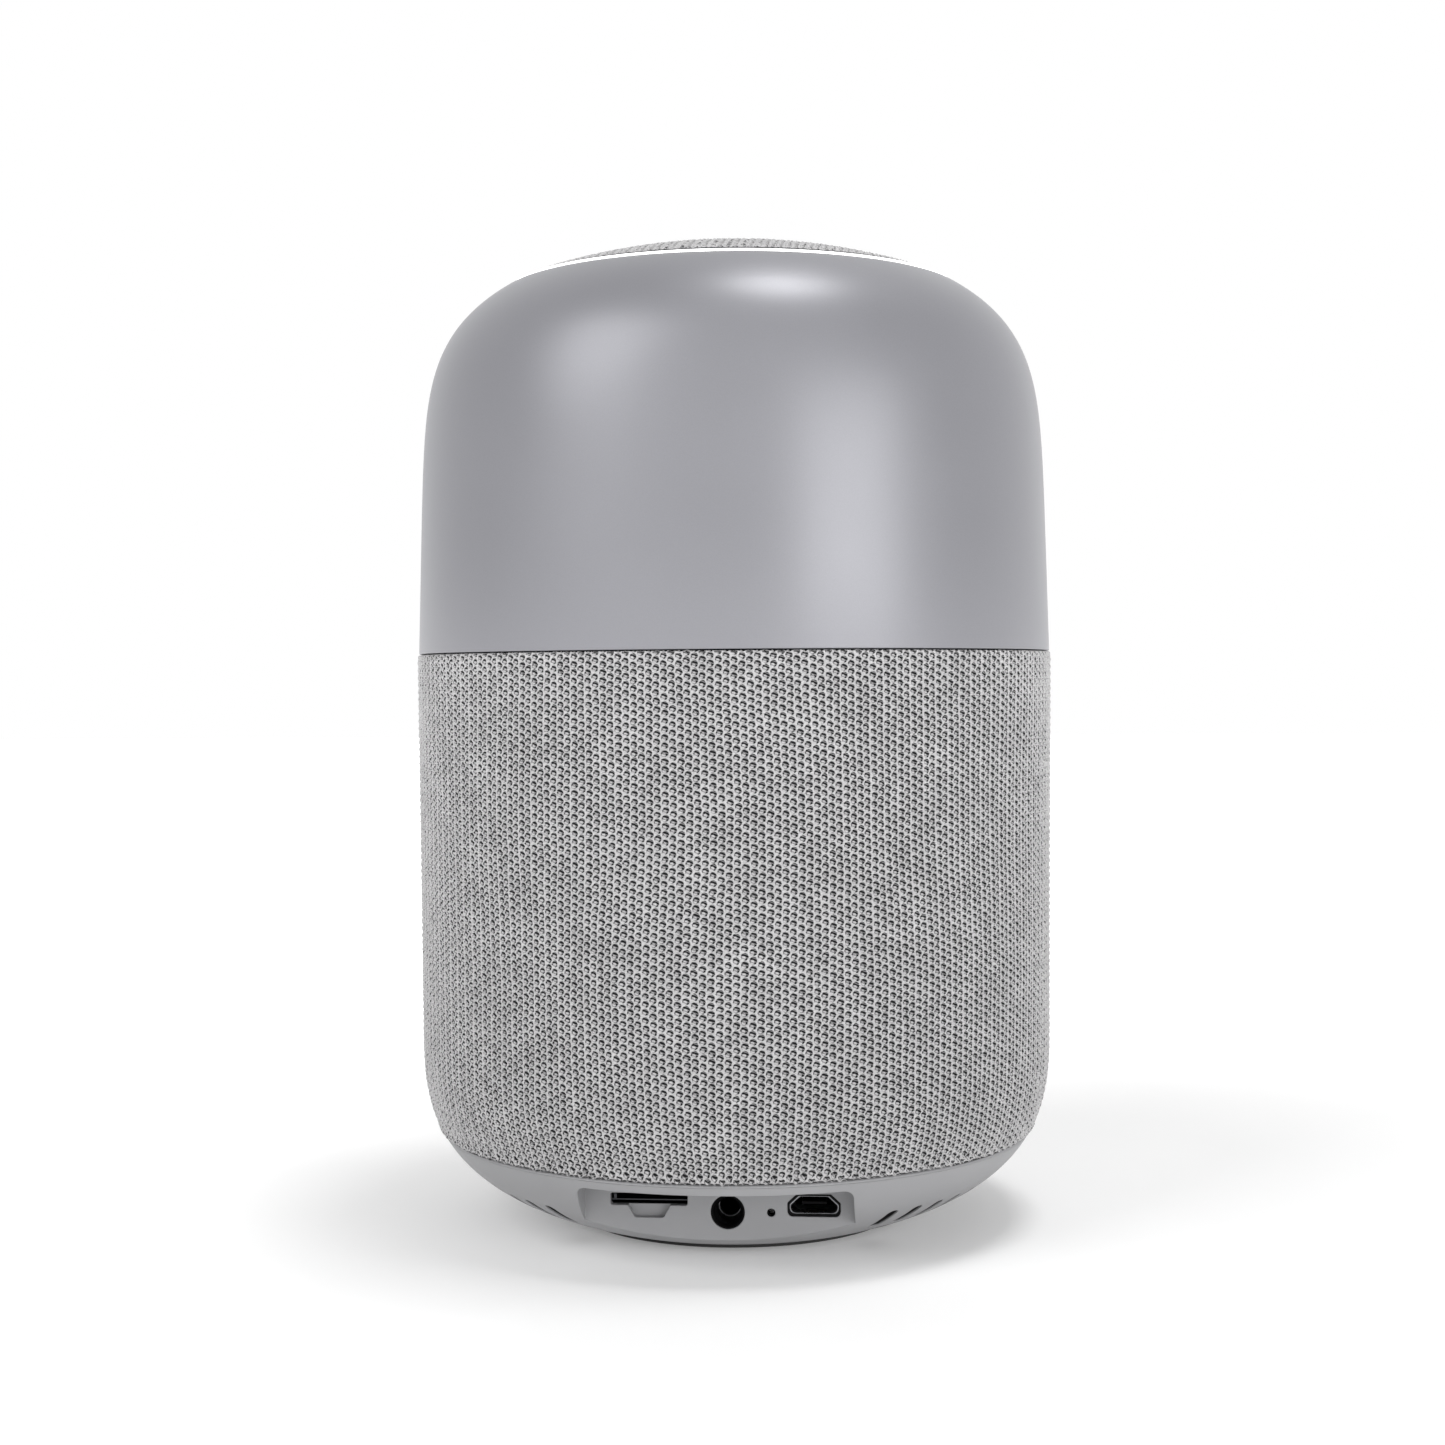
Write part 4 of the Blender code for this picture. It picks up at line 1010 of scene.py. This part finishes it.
class SPEAKER_OT_sockets(bpy.types.Operator):
    """Makes the micro-USB socket and its tongue, the jack and the card socket."""

    bl_idname = "speaker.sockets"
    bl_label = "Sockets"

    def execute(self, context):
        steel = worked_metal("nickel_plated_steel", shade("#A4A5A8"), 0.3)
        black = black_nylon_and_painted_shade()
        gold = worked_metal("gold_plating", shade("#D8B26A"), 0.25)
        front = PANEL_Y + 0.55

        outside, flare, inside = usb_outline(-0.36), usb_outline(-0.46), usb_outline(-0.62)
        rings = [
            (inside, front + 5.0),
            (inside, front + 0.4),
            (flare, front),
            (outside, front),
            (outside, front + 5.0),
        ]
        placed(sleeve_of("usb_shell", rings), steel, "root", "steel", "usb_socket")
        outside, inside = usb_outline(-0.03), usb_outline(-0.33)
        face = PANEL_Y + 0.06
        rings = [(inside, face + 3.0), (inside, face + 0.1), (outside, face), (outside, face + 3.0)]
        placed(sleeve_of("usb_gasket", rings), black, "root", "black_plastic")
        blade = rounded_box(USB_X - 1.9, USB_X + 1.9, USB_Z - 0.05, USB_Z + 0.3, 0.1)
        tongue = prism("usb_tongue_blade", blade, front + 0.8, front + 4.8)
        placed(tongue, black, "root", "black_plastic", "usb_tongue")
        contacts = []
        for number in range(-2, 3):
            x = USB_X + 0.65 * number
            strip = rounded_box(x - 0.16, x + 0.16, USB_Z - 0.2, USB_Z - 0.08, 0.03)
            contacts.append(prism(f"contact_{number}", strip, front + 2.6, front + 4.6))
        placed(joined("usb_contacts", contacts), gold, "root", "steel")

        barrel = filleted(JACK_PROFILE, [0.04, 0, 0, 0.1, 0.1, 0.05, 0.05])
        jack = turned("jack_barrel", barrel, 72, along_y=(JACK_X, JACK_Z), sharp_deg=40)
        placed(jack, black, "root", "black_plastic", "aux_socket")
        spring = turned("jack_sleeve", JACK_SPRING, 48, along_y=(JACK_X, JACK_Z), sharp_deg=40)
        placed(spring, steel, "root", "steel")
        # A black liner in the reset pinhole, standing in for the shade inside it: painted shade.
        shade_liner_outline = [(RESET_HOLE_R - 0.02, 34.95), (RESET_HOLE_R - 0.02, 33.0), (0.45, 33.0), (0.45, 34.8)]
        lining = filleted(shade_liner_outline, [0.03, 0, 0, 0.05])
        shade_liner = turned("reset_hole_shade_liner", lining, 32, along_y=(RESET_X, RESET_Z), sharp_deg=40)
        placed(shade_liner, black, "root", "black_plastic")

        half = CARD_SLOT[0] / 2 - 0.1
        top = rounded_box(CARD_X - half, CARD_X + half, CARD_Z + 0.62, CARD_Z + 0.8, 0.05)
        low = rounded_box(CARD_X - half, CARD_X + half, CARD_Z - 0.35, CARD_Z - 0.2, 0.05)
        finger = rounded_box(CARD_X - half + 0.35, CARD_X - half + 0.75, CARD_Z - 0.1, CARD_Z + 0.6, 0.05)
        plates = [
            prism("card_roof", top, PANEL_Y + 1.3, PANEL_Y + 13.0),
            prism("card_floor", low, PANEL_Y + 1.0, PANEL_Y + 13.0),
            prism("card_finger", finger, PANEL_Y + 0.9, PANEL_Y + 1.2),
        ]
        # A darker copy of the steel, standing in for the shade inside the card slot: painted shade.
        shaded_cage_steel = worked_metal("card_cage_shaded_steel", shade("#4A4B4E"), 0.4)
        placed(joined("card_cage", plates), shaded_cage_steel, "root", "steel", "card_socket")
        return {"FINISHED"}


class SPEAKER_OT_inner_parts(bpy.types.Operator):
    """Gives the frame's own pieces the finish of their material slots."""

    bl_idname = "speaker.inner_parts"
    bl_label = "Inner parts"

    def execute(self, context):
        slots = {part["node"]: part["material_slot"] for part in frame["record"]["subparts"]}
        for name, node in frame["nodes"].items():
            node.data.materials.clear()
            node.data.materials.append(finish_for(slots[name]))
        return {"FINISHED"}


class SPEAKER_PT_panel(bpy.types.Panel):
    """The speaker's sizes, colours and makers."""

    bl_label = "Smart speaker"
    bl_space_type = "VIEW_3D"
    bl_region_type = "UI"
    bl_category = "Speaker"

    def draw(self, context):
        for group in (context.scene.speaker_form, context.scene.speaker_finish):
            for key in group.bl_rna.properties.keys():
                if key not in ("rna_type", "name"):
                    self.layout.prop(group, key)
        for operator in OPERATORS:
            self.layout.operator(operator.bl_idname)


OPERATORS = (
    SPEAKER_OT_stage,
    SPEAKER_OT_inner_parts,
    SPEAKER_OT_dome,
    SPEAKER_OT_light_ring,
    SPEAKER_OT_sleeve,
    SPEAKER_OT_crown,
    SPEAKER_OT_base,
    SPEAKER_OT_sockets,
)
CLASSES = (SpeakerForm, SpeakerFinish, *OPERATORS, SPEAKER_PT_panel)


def register():
    """Adds the classes and their settings to Blender."""
    for cls in CLASSES:
        bpy.utils.register_class(cls)
    bpy.types.Scene.speaker_form = bpy.props.PointerProperty(type=SpeakerForm)
    bpy.types.Scene.speaker_finish = bpy.props.PointerProperty(type=SpeakerFinish)


def unregister():
    """Takes them away again."""
    del bpy.types.Scene.speaker_form
    del bpy.types.Scene.speaker_finish
    for cls in reversed(CLASSES):
        bpy.utils.unregister_class(cls)


def main():
    """Makes every piece in order."""
    register()
    bpy.ops.speaker.stage()
    bpy.ops.speaker.inner_parts()
    bpy.ops.speaker.dome()
    bpy.ops.speaker.light_ring()
    bpy.ops.speaker.sleeve()
    bpy.ops.speaker.crown()
    bpy.ops.speaker.base()
    bpy.ops.speaker.sockets()


if __name__ == "__main__":
    main()
